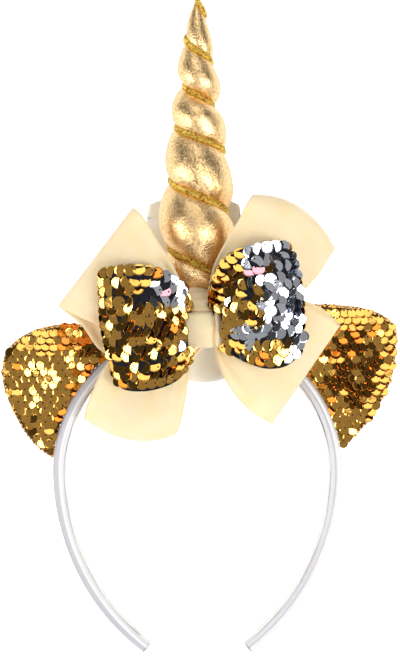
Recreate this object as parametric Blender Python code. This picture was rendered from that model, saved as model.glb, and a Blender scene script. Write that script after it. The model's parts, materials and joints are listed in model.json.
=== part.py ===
"""Unicorn horn headband, lying on its back, front side up.

Everything is modelled in the headband's own frame, in mm: X to the right, Y towards the horn's
tip, Z out of the front, with Y = 0 on the outside of the band's top. A parent empty then tips
that frame by REST_TILT, so that the band's two tips and the flattened rear bow touch the floor.
"""

import math

import bmesh
import bpy
from mathutils import Vector

MM = 0.001

# The headband: a half circle on two wider arcs, swept with a padded section.
BAND_RADIUS = 63.5
LEG_RADIUS = 100.0
LEG_TURN = 53.0
BAND_THICK = 5.5
BAND_HALF_WIDE = 6.0
TOP_STEPS = 25
LEG_STEPS = 11
LINING_THICK = 0.8
LINING_HALF_WIDE = 4.5
GAP = 0.3

# The pose: how far the frame is tipped, and where the band's tips touch the floor.
REST_TILT = 3.5
TIP_Y = -141.4

# The horn: heights along its axis. The cord passes the front at these heights, turn by turn.
HORN_LEAN = 3.5
HORN_TIP = 143.2
CORD_HEIGHTS = ((-3, 178.0), (-2, 159.0), (-1, 138.5), (0, 120.1), (1, 100.8), (2, 82.3),
                (3, 57.2), (4, 27.3), (5, -4.0), (6, -36.0), (7, -68.0))
HORN_RADII = ((-40, 9.0), (-6, 10.5), (0, 11.5), (8, 13.5), (18, 15.6), (30, 16.8), (43, 17.3),
              (56, 16.3), (68, 14.9), (86, 12.7), (97, 11.3), (115, 8.5), (130, 5.1), (135, 3.7),
              (139, 2.4), (142, 1.3), (180, 0.6))
GROOVE_RATIO = ((-40, 0.8), (30, 0.74), (57, 0.79), (82, 0.84), (101, 0.7), (120, 0.78),
                (140, 0.9), (180, 0.9))
HORN_SIDES = 20
PUFF = ((0.0, 0.0), (0.1, 0.0), (0.27, 0.8), (0.5, 1.0), (0.73, 0.84), (0.9, 0.0))
CORD_RADIUS = 1.0
CORD_SIDES = 6
CORD_FROM, CORD_TO = -0.9, 4.3

# Ribbon and fabric strips: wall thickness, and the half widths where the knot grips them.
WALL = 1.0
KNOT_X = 3.0
KNOT_Y = -1.5
KNOT_HALF_X = 8.0
KNOT_HALF_Y = 7.5
PINCH = 5.7

# The ears' outlines past the band, from their lower ends round to where the bow hides them.
EAR_LEFT = ((-66.1, -56.6), (-72.2, -51.4), (-77.9, -43.5), (-82.3, -34.7), (-85.4, -25.9),
            (-85.8, -19.3), (-84.9, -12.7), (-81.4, -7.9), (-73.5, -2.6), (-62.6, 0.4),
            (-50.3, 0.4), (-39.3, -3.0))
EAR_RIGHT = ((65.5, -52.2), (72.0, -45.5), (78.1, -38.2), (85.6, -22.4), (87.7, -6.4),
             (86.7, 0.0), (81.3, 4.8), (73.3, 7.7), (65.2, 8.8), (52.0, 9.2), (40.6, 4.8))
EAR_PAD = 4.2
EAR_BACKING = 1.2


def clear_scene():
    """Removes the startup objects."""
    for obj in list(bpy.data.objects):
        bpy.data.objects.remove(obj)


def table(pairs, at):
    """Reads a table of (place, value) pairs at a place, with straight lines between them."""
    if at <= pairs[0][0]:
        return pairs[0][1]
    for (x0, y0), (x1, y1) in zip(pairs, pairs[1:]):
        if at <= x1:
            return y0 + (y1 - y0) * (at - x0) / (x1 - x0)
    return pairs[-1][1]


def material(name, color, metallic, roughness):
    """A material of its own for one node."""
    made = bpy.data.materials.new(name)
    made.use_nodes = True
    shader = made.node_tree.nodes["Principled BSDF"]
    shader.inputs["Base Color"].default_value = (*color, 1.0)
    shader.inputs["Metallic"].default_value = metallic
    shader.inputs["Roughness"].default_value = roughness
    made.diffuse_color = (*color, 1.0)
    return made


def add_mesh(name, points, faces, look, frame):
    """A mesh object in the headband's frame, from points in mm, with its faces turned outwards."""
    mesh = bpy.data.meshes.new(name)
    mesh.from_pydata([Vector(point) * MM for point in points], [], faces)
    mesh.validate()
    shape = bmesh.new()
    shape.from_mesh(mesh)
    bmesh.ops.recalc_face_normals(shape, faces=shape.faces[:])
    shape.to_mesh(mesh)
    shape.free()
    mesh.materials.append(look)
    obj = bpy.data.objects.new(name, mesh)
    bpy.context.scene.collection.objects.link(obj)
    obj.parent = frame
    return obj


def ring_faces(rings, sides, closed=False):
    """Quads between rings of points, with a cap on each end unless the rings close."""
    faces = []
    for ring in range(rings if closed else rings - 1):
        first = ring * sides
        second = (ring + 1) % rings * sides
        for side in range(sides):
            after = (side + 1) % sides
            faces.append((first + side, first + after, second + after, second + side))
    if not closed:
        faces.append(tuple(range(sides)))
        faces.append(tuple(range((rings - 1) * sides, rings * sides)))
    return faces


def floor_z(y):
    """The floor's height in the headband's frame at a Y."""
    return -BAND_HALF_WIDE - (y - TIP_Y) * math.tan(math.radians(REST_TILT))


def band_line():
    """(point, inward direction) along the outside of the band, from its left tip to its right."""
    line = []
    for step in range(LEG_STEPS):
        turn = math.radians(180 + LEG_TURN * (1 - step / LEG_STEPS))
        out = Vector((math.cos(turn), math.sin(turn), 0))
        line.append((Vector((LEG_RADIUS - BAND_RADIUS, -BAND_RADIUS, 0)) + out * LEG_RADIUS, -out))
    for step in range(TOP_STEPS + 1):
        turn = math.radians(180 - 180 * step / TOP_STEPS)
        out = Vector((math.cos(turn), math.sin(turn), 0))
        line.append((Vector((0, -BAND_RADIUS, 0)) + out * BAND_RADIUS, -out))
    for step in range(LEG_STEPS):
        turn = math.radians(-LEG_TURN * (step + 1) / LEG_STEPS)
        out = Vector((math.cos(turn), math.sin(turn), 0))
        line.append((Vector((BAND_RADIUS - LEG_RADIUS, -BAND_RADIUS, 0)) + out * LEG_RADIUS, -out))
    return line


def swept(line, section):
    """Rings of a section of (depth inwards, Z) pairs set along a line."""
    return [point + inward * depth + Vector((0, 0, z)) for point, inward in line
            for depth, z in section]


def make_band(frame):
    """The padded satin band, with rounded tips."""
    half = BAND_HALF_WIDE
    section = [(0, -0.55 * half), (0, 0.55 * half), (0.9, 0.88 * half), (2.5, half),
               (4.4, 0.93 * half), (BAND_THICK, 0.7 * half), (BAND_THICK, -0.7 * half),
               (4.4, -0.93 * half), (2.5, -half), (0.9, -0.88 * half)]
    line = band_line()
    points = swept(line, section)
    tips = []
    for (point, inward), (inner, _) in ((line[0], line[1]), (line[-1], line[-2])):
        along = (point - inner).normalized() * 1.6
        middle = point + inward * BAND_THICK / 2 + along
        tips.append([middle + (inward * (depth - BAND_THICK / 2) + Vector((0, 0, z))) * 0.72
                     for depth, z in section])
    points = tips[0] + points + tips[1]
    faces = ring_faces(len(line) + 2, len(section))
    look = material("satin", (0.87, 0.87, 0.86), 0.0, 0.35)
    add_mesh("headband", points, faces, look, frame)


def make_lining(frame):
    """The narrow ribbon glued along the inside of the band."""
    line = band_line()[1:-1]
    inner = BAND_THICK + GAP
    section = [(inner, -LINING_HALF_WIDE), (inner, LINING_HALF_WIDE),
               (inner + LINING_THICK, LINING_HALF_WIDE), (inner + LINING_THICK, -LINING_HALF_WIDE)]
    look = material("lining_ribbon", (0.85, 0.85, 0.83), 0.0, 0.6)
    add_mesh("band_lining", swept(line, section), ring_faces(len(line), 4), look, frame)


def leaned(x, height, z):
    """A point of the upright horn, leaned to the front with the horn's axis."""
    lean = math.radians(HORN_LEAN)
    return Vector((x, height * math.cos(lean) - z * math.sin(lean),
                   height * math.sin(lean) + z * math.cos(lean)))


def pressed(point, stand_off):
    """A point of the horn, kept between the bow on its front and the rear bow behind it."""
    front = 6.2 + 0.5 * max(0.0, point.y - 13.0)
    back = max(-6.2 - 0.3 * max(0.0, point.y), floor_z(point.y) + 3 * WALL)
    point.z = min(point.z, front + stand_off)
    point.z = max(point.z, back - stand_off)
    return point


def cord_height(turn):
    """The height of the cord's middle after a number of turns."""
    return table(CORD_HEIGHTS, turn)


def horn_point(turn, share):
    """A point of the horn's skin: a share of the way from the cord down to its next turn."""
    height = cord_height(turn) + (cord_height(turn + 1) - cord_height(turn)) * share[0]
    outer = table(HORN_RADII, height)
    groove = outer * table(GROOVE_RATIO, height)
    radius = groove + (outer - groove) * share[1]
    angle = 2 * math.pi * turn
    return pressed(leaned(radius * math.sin(angle), height, radius * math.cos(angle)), 0.0)


def make_horn(frame):
    """The stuffed horn: one strip of puffed skin that winds down with the cord's groove."""
    first = -2.4
    stations = round(7.8 * HORN_SIDES)
    rows = len(PUFF)
    points = [horn_point(first + step / HORN_SIDES, share)
              for step in range(stations + HORN_SIDES) for share in PUFF]
    faces = []
    for step in range(stations - 1):
        for row in range(rows):
            below = [(step, row + 1), (step + 1, row + 1)]
            if row == rows - 1:
                below = [(step + HORN_SIDES, 0), (step + 1 + HORN_SIDES, 0)]
            corners = [(step, row), (step + 1, row), below[1], below[0]]
            faces.append(tuple(at * rows + row_at for at, row_at in corners))
    look = material("gold_foil", (0.62, 0.40, 0.14), 1.0, 0.25)
    horn = add_mesh("horn", points, faces, look, frame)
    shape = bmesh.new()
    shape.from_mesh(horn.data)
    lean = math.radians(HORN_LEAN)
    axis = Vector((0, math.cos(lean), math.sin(lean)))
    for height, out in ((HORN_TIP, axis), (-5.0, -axis)):
        cut = bmesh.ops.bisect_plane(
            shape, geom=shape.verts[:] + shape.edges[:] + shape.faces[:],
            plane_co=axis * height * MM, plane_no=out, clear_outer=True)
        rim = [part for part in cut["geom_cut"] if isinstance(part, bmesh.types.BMEdge)]
        bmesh.ops.holes_fill(shape, edges=rim, sides=0)
    loose = [vert for vert in shape.verts if not vert.link_faces]
    bmesh.ops.delete(shape, geom=loose, context="VERTS")
    bmesh.ops.recalc_face_normals(shape, faces=shape.faces[:])
    shape.to_mesh(horn.data)
    shape.free()
    cut_to_band(horn, frame)


def cut_to_band(horn, frame):
    """Scoops the horn's foot to the band's round top."""
    rings = []
    for z in (-30.0, 30.0):
        for side in range(60):
            angle = 2 * math.pi * side / 60
            radius = (BAND_RADIUS + GAP) / math.cos(math.pi / 60)
            rings.append((radius * math.cos(angle), radius * math.sin(angle) - BAND_RADIUS, z))
    cutter = add_mesh("horn_foot_cutter", rings, ring_faces(2, 60),
                      material("cutter", (0.5, 0.5, 0.5), 0.0, 0.5), frame)
    cutter.hide_render = True
    cutter.display_type = "WIRE"
    boolean = horn.modifiers.new("foot", "BOOLEAN")
    boolean.operation = "DIFFERENCE"
    boolean.solver = "EXACT"
    boolean.object = cutter


def make_cord(frame):
    """The twisted gold cord that lies in the horn's groove."""
    steps = round((CORD_TO - CORD_FROM) * HORN_SIDES)
    middles = []
    for step in range(steps + 1):
        turn = CORD_FROM + step / HORN_SIDES
        height = cord_height(turn)
        radius = table(HORN_RADII, height) * table(GROOVE_RATIO, height) + CORD_RADIUS + GAP
        angle = 2 * math.pi * turn
        middle = leaned(radius * math.sin(angle), height, radius * math.cos(angle))
        middles.append(pressed(middle, CORD_RADIUS + GAP))
    lean = math.radians(HORN_LEAN)
    axis = Vector((0, math.cos(lean), math.sin(lean)))
    points = []
    for step, middle in enumerate(middles):
        along = (middles[min(step + 1, steps)] - middles[max(step - 1, 0)]).normalized()
        out = along.cross(axis).normalized()
        up = out.cross(along)
        for side in range(CORD_SIDES):
            angle = 2 * math.pi * (side + 0.5) / CORD_SIDES
            points.append(middle + (out * math.cos(angle) + up * math.sin(angle)) * CORD_RADIUS)
    look = material("gold_cord", (0.72, 0.50, 0.18), 1.0, 0.35)
    add_mesh("horn_cord", points, ring_faces(steps + 1, CORD_SIDES), look, frame)


def ear_outline(outer, low, high):
    """An ear's outline in order: the free edge, then back along the band's outside."""
    steps = 9
    base = []
    for step in range(steps + 1):
        angle = math.radians(high + (low - high) * step / steps)
        radius = (BAND_RADIUS + GAP) / math.cos(math.radians(abs(high - low)) / steps / 2)
        base.append((radius * math.cos(angle), radius * math.sin(angle) - BAND_RADIUS))
    return list(outer) + base


def make_ear(side, outline, frame):
    """A padded ear front and the flat backing behind it."""
    count = len(outline)
    middle = (sum(x for x, _ in outline) / count, sum(y for _, y in outline) / count)

    def ring(share, z):
        return [(middle[0] + (x - middle[0]) * share, middle[1] + (y - middle[1]) * share, z)
                for x, y in outline]

    low = GAP / 2
    pad = ring(0.985, low) + ring(0.985, low + 1.2) + ring(0.86, 0.8 * EAR_PAD)
    pad += ring(0.5, EAR_PAD)
    look = material(f"ear_sequins_{side}", (0.60, 0.42, 0.13), 0.9, 0.3)
    add_mesh(f"ear_pad_{side}", pad, ring_faces(4, count), look, frame)
    back = ring(1.0, -GAP / 2) + ring(1.0, -GAP / 2 - EAR_BACKING)
    look = material(f"ear_backing_{side}", (0.72, 0.53, 0.45), 0.0, 0.5)
    add_mesh(f"ear_backing_{side}", back, ring_faces(2, count), look, frame)


def make_strip(name, stations, look, frame, across=5, wall=WALL):
    """A closed strip with walls: stations of (middle, half of the width as a vector, pleat).

    pleat is how far the gathers lift every other line of points across the strip.
    """
    points = []
    for middle, half, pleat in stations:
        for step in range(across):
            share = 2 * step / (across - 1) - 1
            lift = pleat if step % 2 else 0.0
            points.append(Vector(middle) + Vector(half) * share + Vector((0, 0, lift)))
    faces = []
    for ring in range(len(stations)):
        first = ring * across
        second = (ring + 1) % len(stations) * across
        for step in range(across - 1):
            faces.append((first + step, first + step + 1, second + step + 1, second + step))
    strip = add_mesh(name, points, faces, look, frame)
    walls = strip.modifiers.new("walls", "SOLIDIFY")
    walls.thickness = wall * MM
    walls.offset = 0.0
    walls.use_even_offset = True
    return strip


def bow_half(start, loop):
    """Stations of one loop, out along its back layer and home along its front layer."""
    out, home = [], []
    start, end, half = Vector((*start, 0)), Vector((*loop["end"], 0)), Vector(loop["half"])
    for share in (0.0, 0.12, 0.26, 0.42, 0.6, 0.8, 0.94):
        middle = start.lerp(end, share)
        wide = Vector((0, PINCH, 0)).lerp(half, table(loop["flare"], share))
        out.append((middle + Vector((0, 0, table(loop["back"], share))), wide, 0.0))
        pleat = table(loop["gather"], share)
        home.append((middle + Vector((0, 0, table(loop["front"], share))), wide, pleat))
    fold = end + Vector((0, 0, (table(loop["back"], 1.0) + table(loop["front"], 1.0)) / 2))
    return out + [(fold, half, 0.0)] + home[::-1]


def make_bow(name, left, right, look, frame):
    """A bow of two loops in one closed strip, held in the knot.

    Each loop has its end's middle and half width, tables by the share of the way out for the Z of
    its back and front layers and for how far it has flared, and one for its gathers' depth.
    """
    start_left = (KNOT_X - KNOT_HALF_X - 1.0, KNOT_Y)
    start_right = (KNOT_X + KNOT_HALF_X + 1.0, KNOT_Y)
    stations = bow_half(start_left, left) + bow_half(start_right, right)[::-1]
    return make_strip(name, stations, look, frame, across=9)


def make_ribbon_bows(frame):
    """The two crossed bows of wide grosgrain ribbon."""
    flare = ((0.0, 0.0), (0.12, 0.22), (0.26, 0.45), (0.6, 0.8), (1.0, 1.0))
    smooth = ((0.0, 0.0), (1.0, 0.0))
    gather = ((0.0, 0.0), (0.26, 0.4), (0.42, 1.0), (0.8, 0.5), (1.0, 0.0))
    lower_left = {"end": (-29.0, -43.9), "half": (-19.4, 4.0, 4.0), "flare": flare,
                  "back": ((0, 7.9), (0.4, 8.1), (1, 9.5)), "gather": smooth,
                  "front": ((0, 9.5), (0.4, 9.9), (0.6, 12.5), (0.8, 15.5), (1, 14.0))}
    upper_right = {"end": (42.0, 46.2), "half": (-16.8, 12.3, 9.0), "flare": flare,
                   "back": ((0, 7.9), (0.12, 8.2), (0.3, 9.8), (1, 13.5)), "gather": smooth,
                   "front": ((0, 9.5), (0.12, 9.8), (0.3, 12.0), (0.6, 18.0), (0.8, 20.5),
                             (1, 18.5))}
    upper_left = {"end": (-44.1, 29.0), "half": (15.4, 20.3, 0.0), "flare": flare,
                  "back": ((0, 11.2), (0.3, 13.1), (1, 13.0)), "gather": gather,
                  "front": ((0, 12.8), (0.3, 15.3), (0.6, 18.0), (0.8, 19.5), (1, 17.5))}
    lower_right = dict(upper_left, end=(46.2, -20.9), half=(14.5, 20.9, 0.0))
    look = material("ribbon_back", (0.86, 0.82, 0.62), 0.0, 0.6)
    make_bow("ribbon_bow_back", lower_left, upper_right, look, frame)
    look = material("ribbon_front", (0.88, 0.84, 0.64), 0.0, 0.6)
    make_bow("ribbon_bow_front", upper_left, lower_right, look, frame)


def make_sequin_bow(frame):
    """The stiff bow of sequin fabric on top of the ribbon bows."""
    spread = ((0.0, 0.0), (0.12, 0.4), (0.26, 0.72), (0.42, 0.88), (0.6, 0.97), (1.0, 1.0))
    gather = ((0.0, 0.0), (0.12, 1.2), (0.26, 2.2), (0.42, 1.6), (0.8, 0.4), (1.0, 0.0))
    left = {"end": (-38.7, -1.8), "half": (-5.5, 26.4, 0.0), "flare": spread, "gather": gather,
            "back": ((0, 14.5), (0.26, 20.2), (0.6, 21.5), (1, 21.5)),
            "front": ((0, 16.1), (0.26, 24.0), (0.6, 31.0), (0.8, 32.0), (1, 28.5))}
    right = {"end": (44.7, 9.8), "half": (-3.1, 26.5, 0.0), "flare": spread, "gather": gather,
             "back": ((0, 14.5), (0.26, 22.5), (0.6, 25.5), (1, 26.0)),
             "front": ((0, 16.1), (0.26, 27.0), (0.6, 34.0), (0.8, 35.5), (1, 32.5))}
    look = material("sequins", (0.62, 0.46, 0.18), 0.9, 0.3)
    make_bow("sequin_bow", left, right, look, frame)


def make_wrap(frame):
    """The ribbon that wraps the bows' middle."""
    low, high = 6.8, 18.6
    half_y = KNOT_HALF_Y - WALL / 2
    section = ((-half_y + 0.6, low), (half_y - 0.6, low), (half_y, low + 0.9),
               (half_y, high - 2.5), (half_y - 2.2, high), (0.0, high + 0.8),
               (-half_y + 2.2, high), (-half_y, high - 2.5), (-half_y, low + 0.9))
    stations = [((KNOT_X, KNOT_Y + y, z), (KNOT_HALF_X, 0, 0), 0.0) for y, z in section]
    look = material("ribbon_wrap", (0.88, 0.84, 0.66), 0.0, 0.6)
    make_strip("center_wrap", stations, look, frame, wall=0.8)


def make_rear_bow(frame):
    """The ribbon bow behind the band: its upper loop lies flat on the floor under the horn."""
    half = WALL / 2
    path = [(-3.0, -8.4, 12.0), (6.0, -12.2, 14.5), (14.0, None, 17.5), (24.0, None, 20.0),
            (40.0, None, 21.5), (55.5, None, 21.5)]
    stations = []
    for y, z, wide in path:
        low = floor_z(y) + half if z is None else z
        stations.append(((-1.5, y, low), (wide, 0, 0), 0.0))
    stations.append(((-1.5, 57.8, floor_z(57.8) + 1.3), (21.5, 0, 0), 0.0))
    for y, z, wide in reversed(path):
        low = floor_z(y) + half + 1.6 * WALL if z is None else z + 1.6 * WALL
        stations.append(((-1.5, y, low), (wide, 0, 0), 0.0))
    lower = ((-10.0, 0.2, 14.0), (-17.0, 0.9, 15.0), (-22.5, 1.6, 15.5))
    for y, open_by, wide in lower:
        stations.append(((-1.5 + (-3.0 - y) * 0.2, y, -6.8 - 0.4 * open_by), (wide, 0, 0), 0.0))
    stations.append(((2.8, -25.0, -9.4), (15.5, 0, 0), 0.0))
    for y, open_by, wide in reversed(lower):
        place = -1.5 + (-3.0 - y) * 0.2
        stations.append(((place, y, -8.4 - 2.2 * open_by), (wide, 0, 0), 0.0))
    look = material("ribbon_rear", (0.86, 0.82, 0.62), 0.0, 0.6)
    make_strip("rear_ribbon_bow", stations, look, frame)


def settle(frame):
    """Tips the frame into its resting pose, with the origin at the bottom centre of the box."""
    frame.rotation_euler = (math.radians(REST_TILT), 0, 0)
    bpy.context.view_layer.update()
    graph = bpy.context.evaluated_depsgraph_get()
    corners = []
    for obj in bpy.context.scene.objects:
        if obj.type == "MESH" and not obj.hide_render:
            solid = obj.evaluated_get(graph)
            mesh = solid.to_mesh()
            corners += [solid.matrix_world @ vert.co for vert in mesh.vertices]
            solid.to_mesh_clear()
    low = [min(corner[axis] for corner in corners) for axis in range(3)]
    high = [max(corner[axis] for corner in corners) for axis in range(3)]
    frame.location = (-(low[0] + high[0]) / 2, -(low[1] + high[1]) / 2, -low[2])
    bpy.context.view_layer.update()
    print("frame moved by, mm:", [round(value / MM, 3) for value in frame.location])
    print("size, mm:", [round((high[axis] - low[axis]) / MM, 2) for axis in range(3)])


def main():
    """Builds every piece, then settles the whole."""
    clear_scene()
    frame = bpy.data.objects.new("headband_frame", None)
    bpy.context.scene.collection.objects.link(frame)
    make_band(frame)
    make_lining(frame)
    make_horn(frame)
    make_cord(frame)
    make_ear("left", ear_outline(EAR_LEFT, 175.0, 119.0), frame)
    make_ear("right", ear_outline(EAR_RIGHT, 10.0, 61.0), frame)
    make_ribbon_bows(frame)
    make_sequin_bow(frame)
    make_wrap(frame)
    make_rear_bow(frame)
    settle(frame)


main()
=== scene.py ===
"""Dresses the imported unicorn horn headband: satin band, foil horn, ears, bows and light.

Shapes are worked out in mm in the headband's own frame (X right, Y to the horn's tip, Z out of
the front), and seat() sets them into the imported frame, where the headband lies tipped on its back.
"""

from __future__ import annotations

import json
import logging
import math
import random
from collections.abc import Iterator
from contextlib import contextmanager
from dataclasses import dataclass, field
from enum import Enum

import bmesh
import bpy
import numpy as np
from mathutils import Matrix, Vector, noise

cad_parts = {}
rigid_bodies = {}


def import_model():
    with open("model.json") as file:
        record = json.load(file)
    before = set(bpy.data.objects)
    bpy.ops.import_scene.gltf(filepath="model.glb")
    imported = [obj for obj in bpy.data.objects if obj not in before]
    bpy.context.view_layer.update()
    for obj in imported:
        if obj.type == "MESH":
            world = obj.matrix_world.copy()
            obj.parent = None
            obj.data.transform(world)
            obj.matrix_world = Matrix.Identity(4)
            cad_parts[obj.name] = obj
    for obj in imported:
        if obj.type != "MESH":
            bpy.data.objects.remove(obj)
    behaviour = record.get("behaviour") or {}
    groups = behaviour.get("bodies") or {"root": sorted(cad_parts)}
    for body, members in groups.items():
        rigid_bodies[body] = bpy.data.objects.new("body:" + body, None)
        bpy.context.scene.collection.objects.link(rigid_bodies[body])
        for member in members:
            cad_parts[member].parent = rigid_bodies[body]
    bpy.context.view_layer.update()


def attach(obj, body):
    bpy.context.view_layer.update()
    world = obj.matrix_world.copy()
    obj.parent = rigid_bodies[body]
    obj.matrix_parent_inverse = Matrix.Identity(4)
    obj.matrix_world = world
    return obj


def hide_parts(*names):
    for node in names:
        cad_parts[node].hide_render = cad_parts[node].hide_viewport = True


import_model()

LOG = logging.getLogger("headband")
MM = 0.001
MERGE = 0.00001
BODY = "root"
REST_TILT = math.radians(3.5)
SHIFT_MM = (-0.95, 0.67, 14.624)

# The photograph: its middle, its scale on the band's plane, and the camera's height over it.
PHOTO_MIDDLE = (200.0, 331.0)
PHOTO_SCALE = 0.44
EYE = (1.1, -2.2, 900.0)

BAND_RADIUS = 63.5
Seen = tuple[float, float, float]
Grid = np.ndarray


class Held(Enum):
    """How a sheet of cloth is held."""

    GATHERED = "gathered"
    LAID = "laid"
    FOLDED = "folded"


class Tone(Enum):
    """The foil colours of the sequins, as a place on the sequin finish's colour ramp; the
    orange-gold tone is painted reflection, given to gold discs for the warm yellow around them.
    """

    GOLD = 0.0
    # Painted reflection: an orange-gold that gold discs get where they would mirror the warm yellow
    # around them.
    AMBER_PAINTED_REFLECTION = 0.35
    ROSE = 0.62
    SILVER = 1.0


def seat(points: Grid) -> Grid:
    """Sets points of the headband's frame, in mm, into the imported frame.

    Args:
        points: any array whose last axis is X, Y, Z.
    Returns:
        The same shape of array, in metres.
    """
    cosine, sine = math.cos(REST_TILT), math.sin(REST_TILT)
    x, y, z = points[..., 0], points[..., 1], points[..., 2]
    turned = np.stack([x, y * cosine - z * sine, y * sine + z * cosine], axis=-1)
    return (turned + np.array(SHIFT_MM)) * MM


def sight(spot: Seen) -> Grid:
    """Finds the point that shows at a place of the photograph, z mm in front of the band.

    Args:
        spot: pixels across and down, and the height over the band's plane.
    Returns:
        The point in the headband's frame, in mm.
    """
    scale = PHOTO_SCALE * (EYE[2] - spot[2]) / EYE[2]
    return np.array([(spot[0] - PHOTO_MIDDLE[0]) * scale + EYE[0],
                     (PHOTO_MIDDLE[1] - spot[1]) * scale + EYE[1], spot[2]])


def showing(point: Grid) -> tuple[float, float]:
    """Finds where a point of the headband's frame shows in the photograph, in pixels."""
    scale = PHOTO_SCALE * (EYE[2] - point[2]) / EYE[2]
    return (PHOTO_MIDDLE[0] + (point[0] - EYE[0]) / scale,
            PHOTO_MIDDLE[1] - (point[1] - EYE[1]) / scale)


def read_table(pairs: tuple[tuple[float, float], ...], at: float) -> float:
    """Reads a table of (place, value) pairs at a place, smoothly between them."""
    places = [place for place, _ in pairs]
    after = int(np.clip(np.searchsorted(places, at), 1, len(pairs) - 1))
    (x0, y0), (x1, y1) = pairs[after - 1], pairs[after]
    share = min(1.0, max(0.0, (at - x0) / (x1 - x0)))
    low = pairs[max(after - 2, 0)]
    high = pairs[min(after + 1, len(pairs) - 1)]
    slope0 = (y1 - low[1]) / (x1 - low[0]) * (x1 - x0)
    slope1 = (high[1] - y0) / (high[0] - x0) * (x1 - x0)
    cube, square = share ** 3, share ** 2
    return ((2 * cube - 3 * square + 1) * y0 + (cube - 2 * square + share) * slope0
            + (3 * square - 2 * cube) * y1 + (cube - square) * slope1)


def smooth_line(points: Grid, count: int) -> Grid:
    """Runs a smooth line through points.

    Args:
        points: the points that it passes, along the first axis.
        count: how many points it gets.
    Returns:
        The line's points.
    """
    last = len(points) - 1
    places = np.linspace(0, last, count)
    first = np.clip(places.astype(int), 0, last - 1)
    share = (places - first).reshape((-1,) + (1,) * (points.ndim - 1))
    before, start = points[np.clip(first - 1, 0, last)], points[first]
    end, after = points[first + 1], points[np.clip(first + 2, 0, last)]
    return 0.5 * (2 * start + (end - before) * share
                  + (2 * before - 5 * start + 4 * end - after) * share ** 2
                  + (3 * start - before - 3 * end + after) * share ** 3)


def ripple(point: Grid, size: float, seed: float = 0.0) -> float:
    """Smooth noise from -1 to 1 with lumps of a size in mm."""
    return noise.noise(Vector(point) / size + Vector((seed, seed * 1.7, -seed)))


def linear(colour: str) -> tuple[float, float, float, float]:
    """Turns an sRGB hex colour to linear light."""
    parts = [int(colour[at:at + 2], 16) / 255 for at in (1, 3, 5)]
    red, green, blue = [part / 12.92 if part <= 0.04045 else ((part + 0.055) / 1.055) ** 2.4
                        for part in parts]
    return red, green, blue, 1.0


def set_stops(marks: bpy.types.ColorRampElements, stops: tuple[tuple[float, str], ...]) -> None:
    """Sets a colour ramp's stops, given as (place, hex colour)."""
    while len(marks) < len(stops):
        marks.new(0.5)
    for mark, (place, colour) in zip(marks, stops):
        mark.position = place
        mark.color = linear(colour)


def add_node(tree: bpy.types.NodeTree, kind: str, settings: dict | None = None,
             links: dict | None = None) -> bpy.types.Node:
    """Adds one node with its settings and links.

    Args:
        tree: the material's or world's node tree.
        kind: the node's type.
        settings: properties by name, inputs by their label or number, and a ramp's "stops".
        links: output sockets that feed the inputs, by the input's label or number.
    Returns:
        The node.
    """
    node = tree.nodes.new(kind)
    for key, value in (settings or {}).items():
        if key == "stops":
            set_stops(node.color_ramp.elements, value)
        elif isinstance(key, int) or key in node.inputs:
            node.inputs[key].default_value = value
        else:
            setattr(node, key, value)
    for key, source in (links or {}).items():
        tree.links.new(source, node.inputs[key])
    return node


@dataclass(frozen=True)
class Finish:
    """A material: the real one's name, a slot name that is not used, and its gloss."""

    title: str
    slot: str
    metallic: float = 0.0
    roughness: float = 0.5
    sheen: float = 0.0

    def start(self) -> tuple[bpy.types.Material, bpy.types.NodeTree, bpy.types.Node]:
        """Makes the material with its constant values set on its shader's sockets."""
        made = bpy.data.materials.new(self.title)
        made.use_nodes = True
        shader = made.node_tree.nodes["Principled BSDF"]
        shader.inputs["Metallic"].default_value = self.metallic
        shader.inputs["Roughness"].default_value = self.roughness
        shader.inputs["Sheen Weight"].default_value = self.sheen
        return made, made.node_tree, shader

    def dress(self, made: bpy.types.Material, share: bpy.types.NodeSocket,
              stops: tuple[tuple[float, str], ...], height: bpy.types.NodeSocket,
              strength: float, depth: float,
              under: bpy.types.NodeSocket | None = None) -> bpy.types.Material:
        """Colours a material and raises its relief.

        Args:
            made: the material.
            share: the pattern that picks the colour.
            stops: the colours, as (share, hex colour).
            height: the pattern of the relief.
            strength: how strong the relief is.
            depth: how deep the relief is, in metres.
            under: a coarser or finer relief that this one lies on.
        Returns:
            The material.
        """
        tree = made.node_tree
        shader = tree.nodes["Principled BSDF"]
        tint = add_node(tree, "ShaderNodeValToRGB", {"stops": stops}, {"Fac": share})
        links = {"Height": height} | ({"Normal": under} if under else {})
        bump = add_node(tree, "ShaderNodeBump", {"Strength": strength, "Distance": depth}, links)
        tree.links.new(tint.outputs["Color"], shader.inputs["Base Color"])
        tree.links.new(bump.outputs[0], shader.inputs["Normal"])
        return made

    def make(self) -> bpy.types.Material:
        """Makes the material."""
        raise NotImplementedError


def wave_scale(pitch_mm: float) -> float:
    """The scale of a wave texture whose bands are a pitch apart, on coordinates in metres."""
    return 2 * math.pi / 20 / (pitch_mm * MM)


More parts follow.
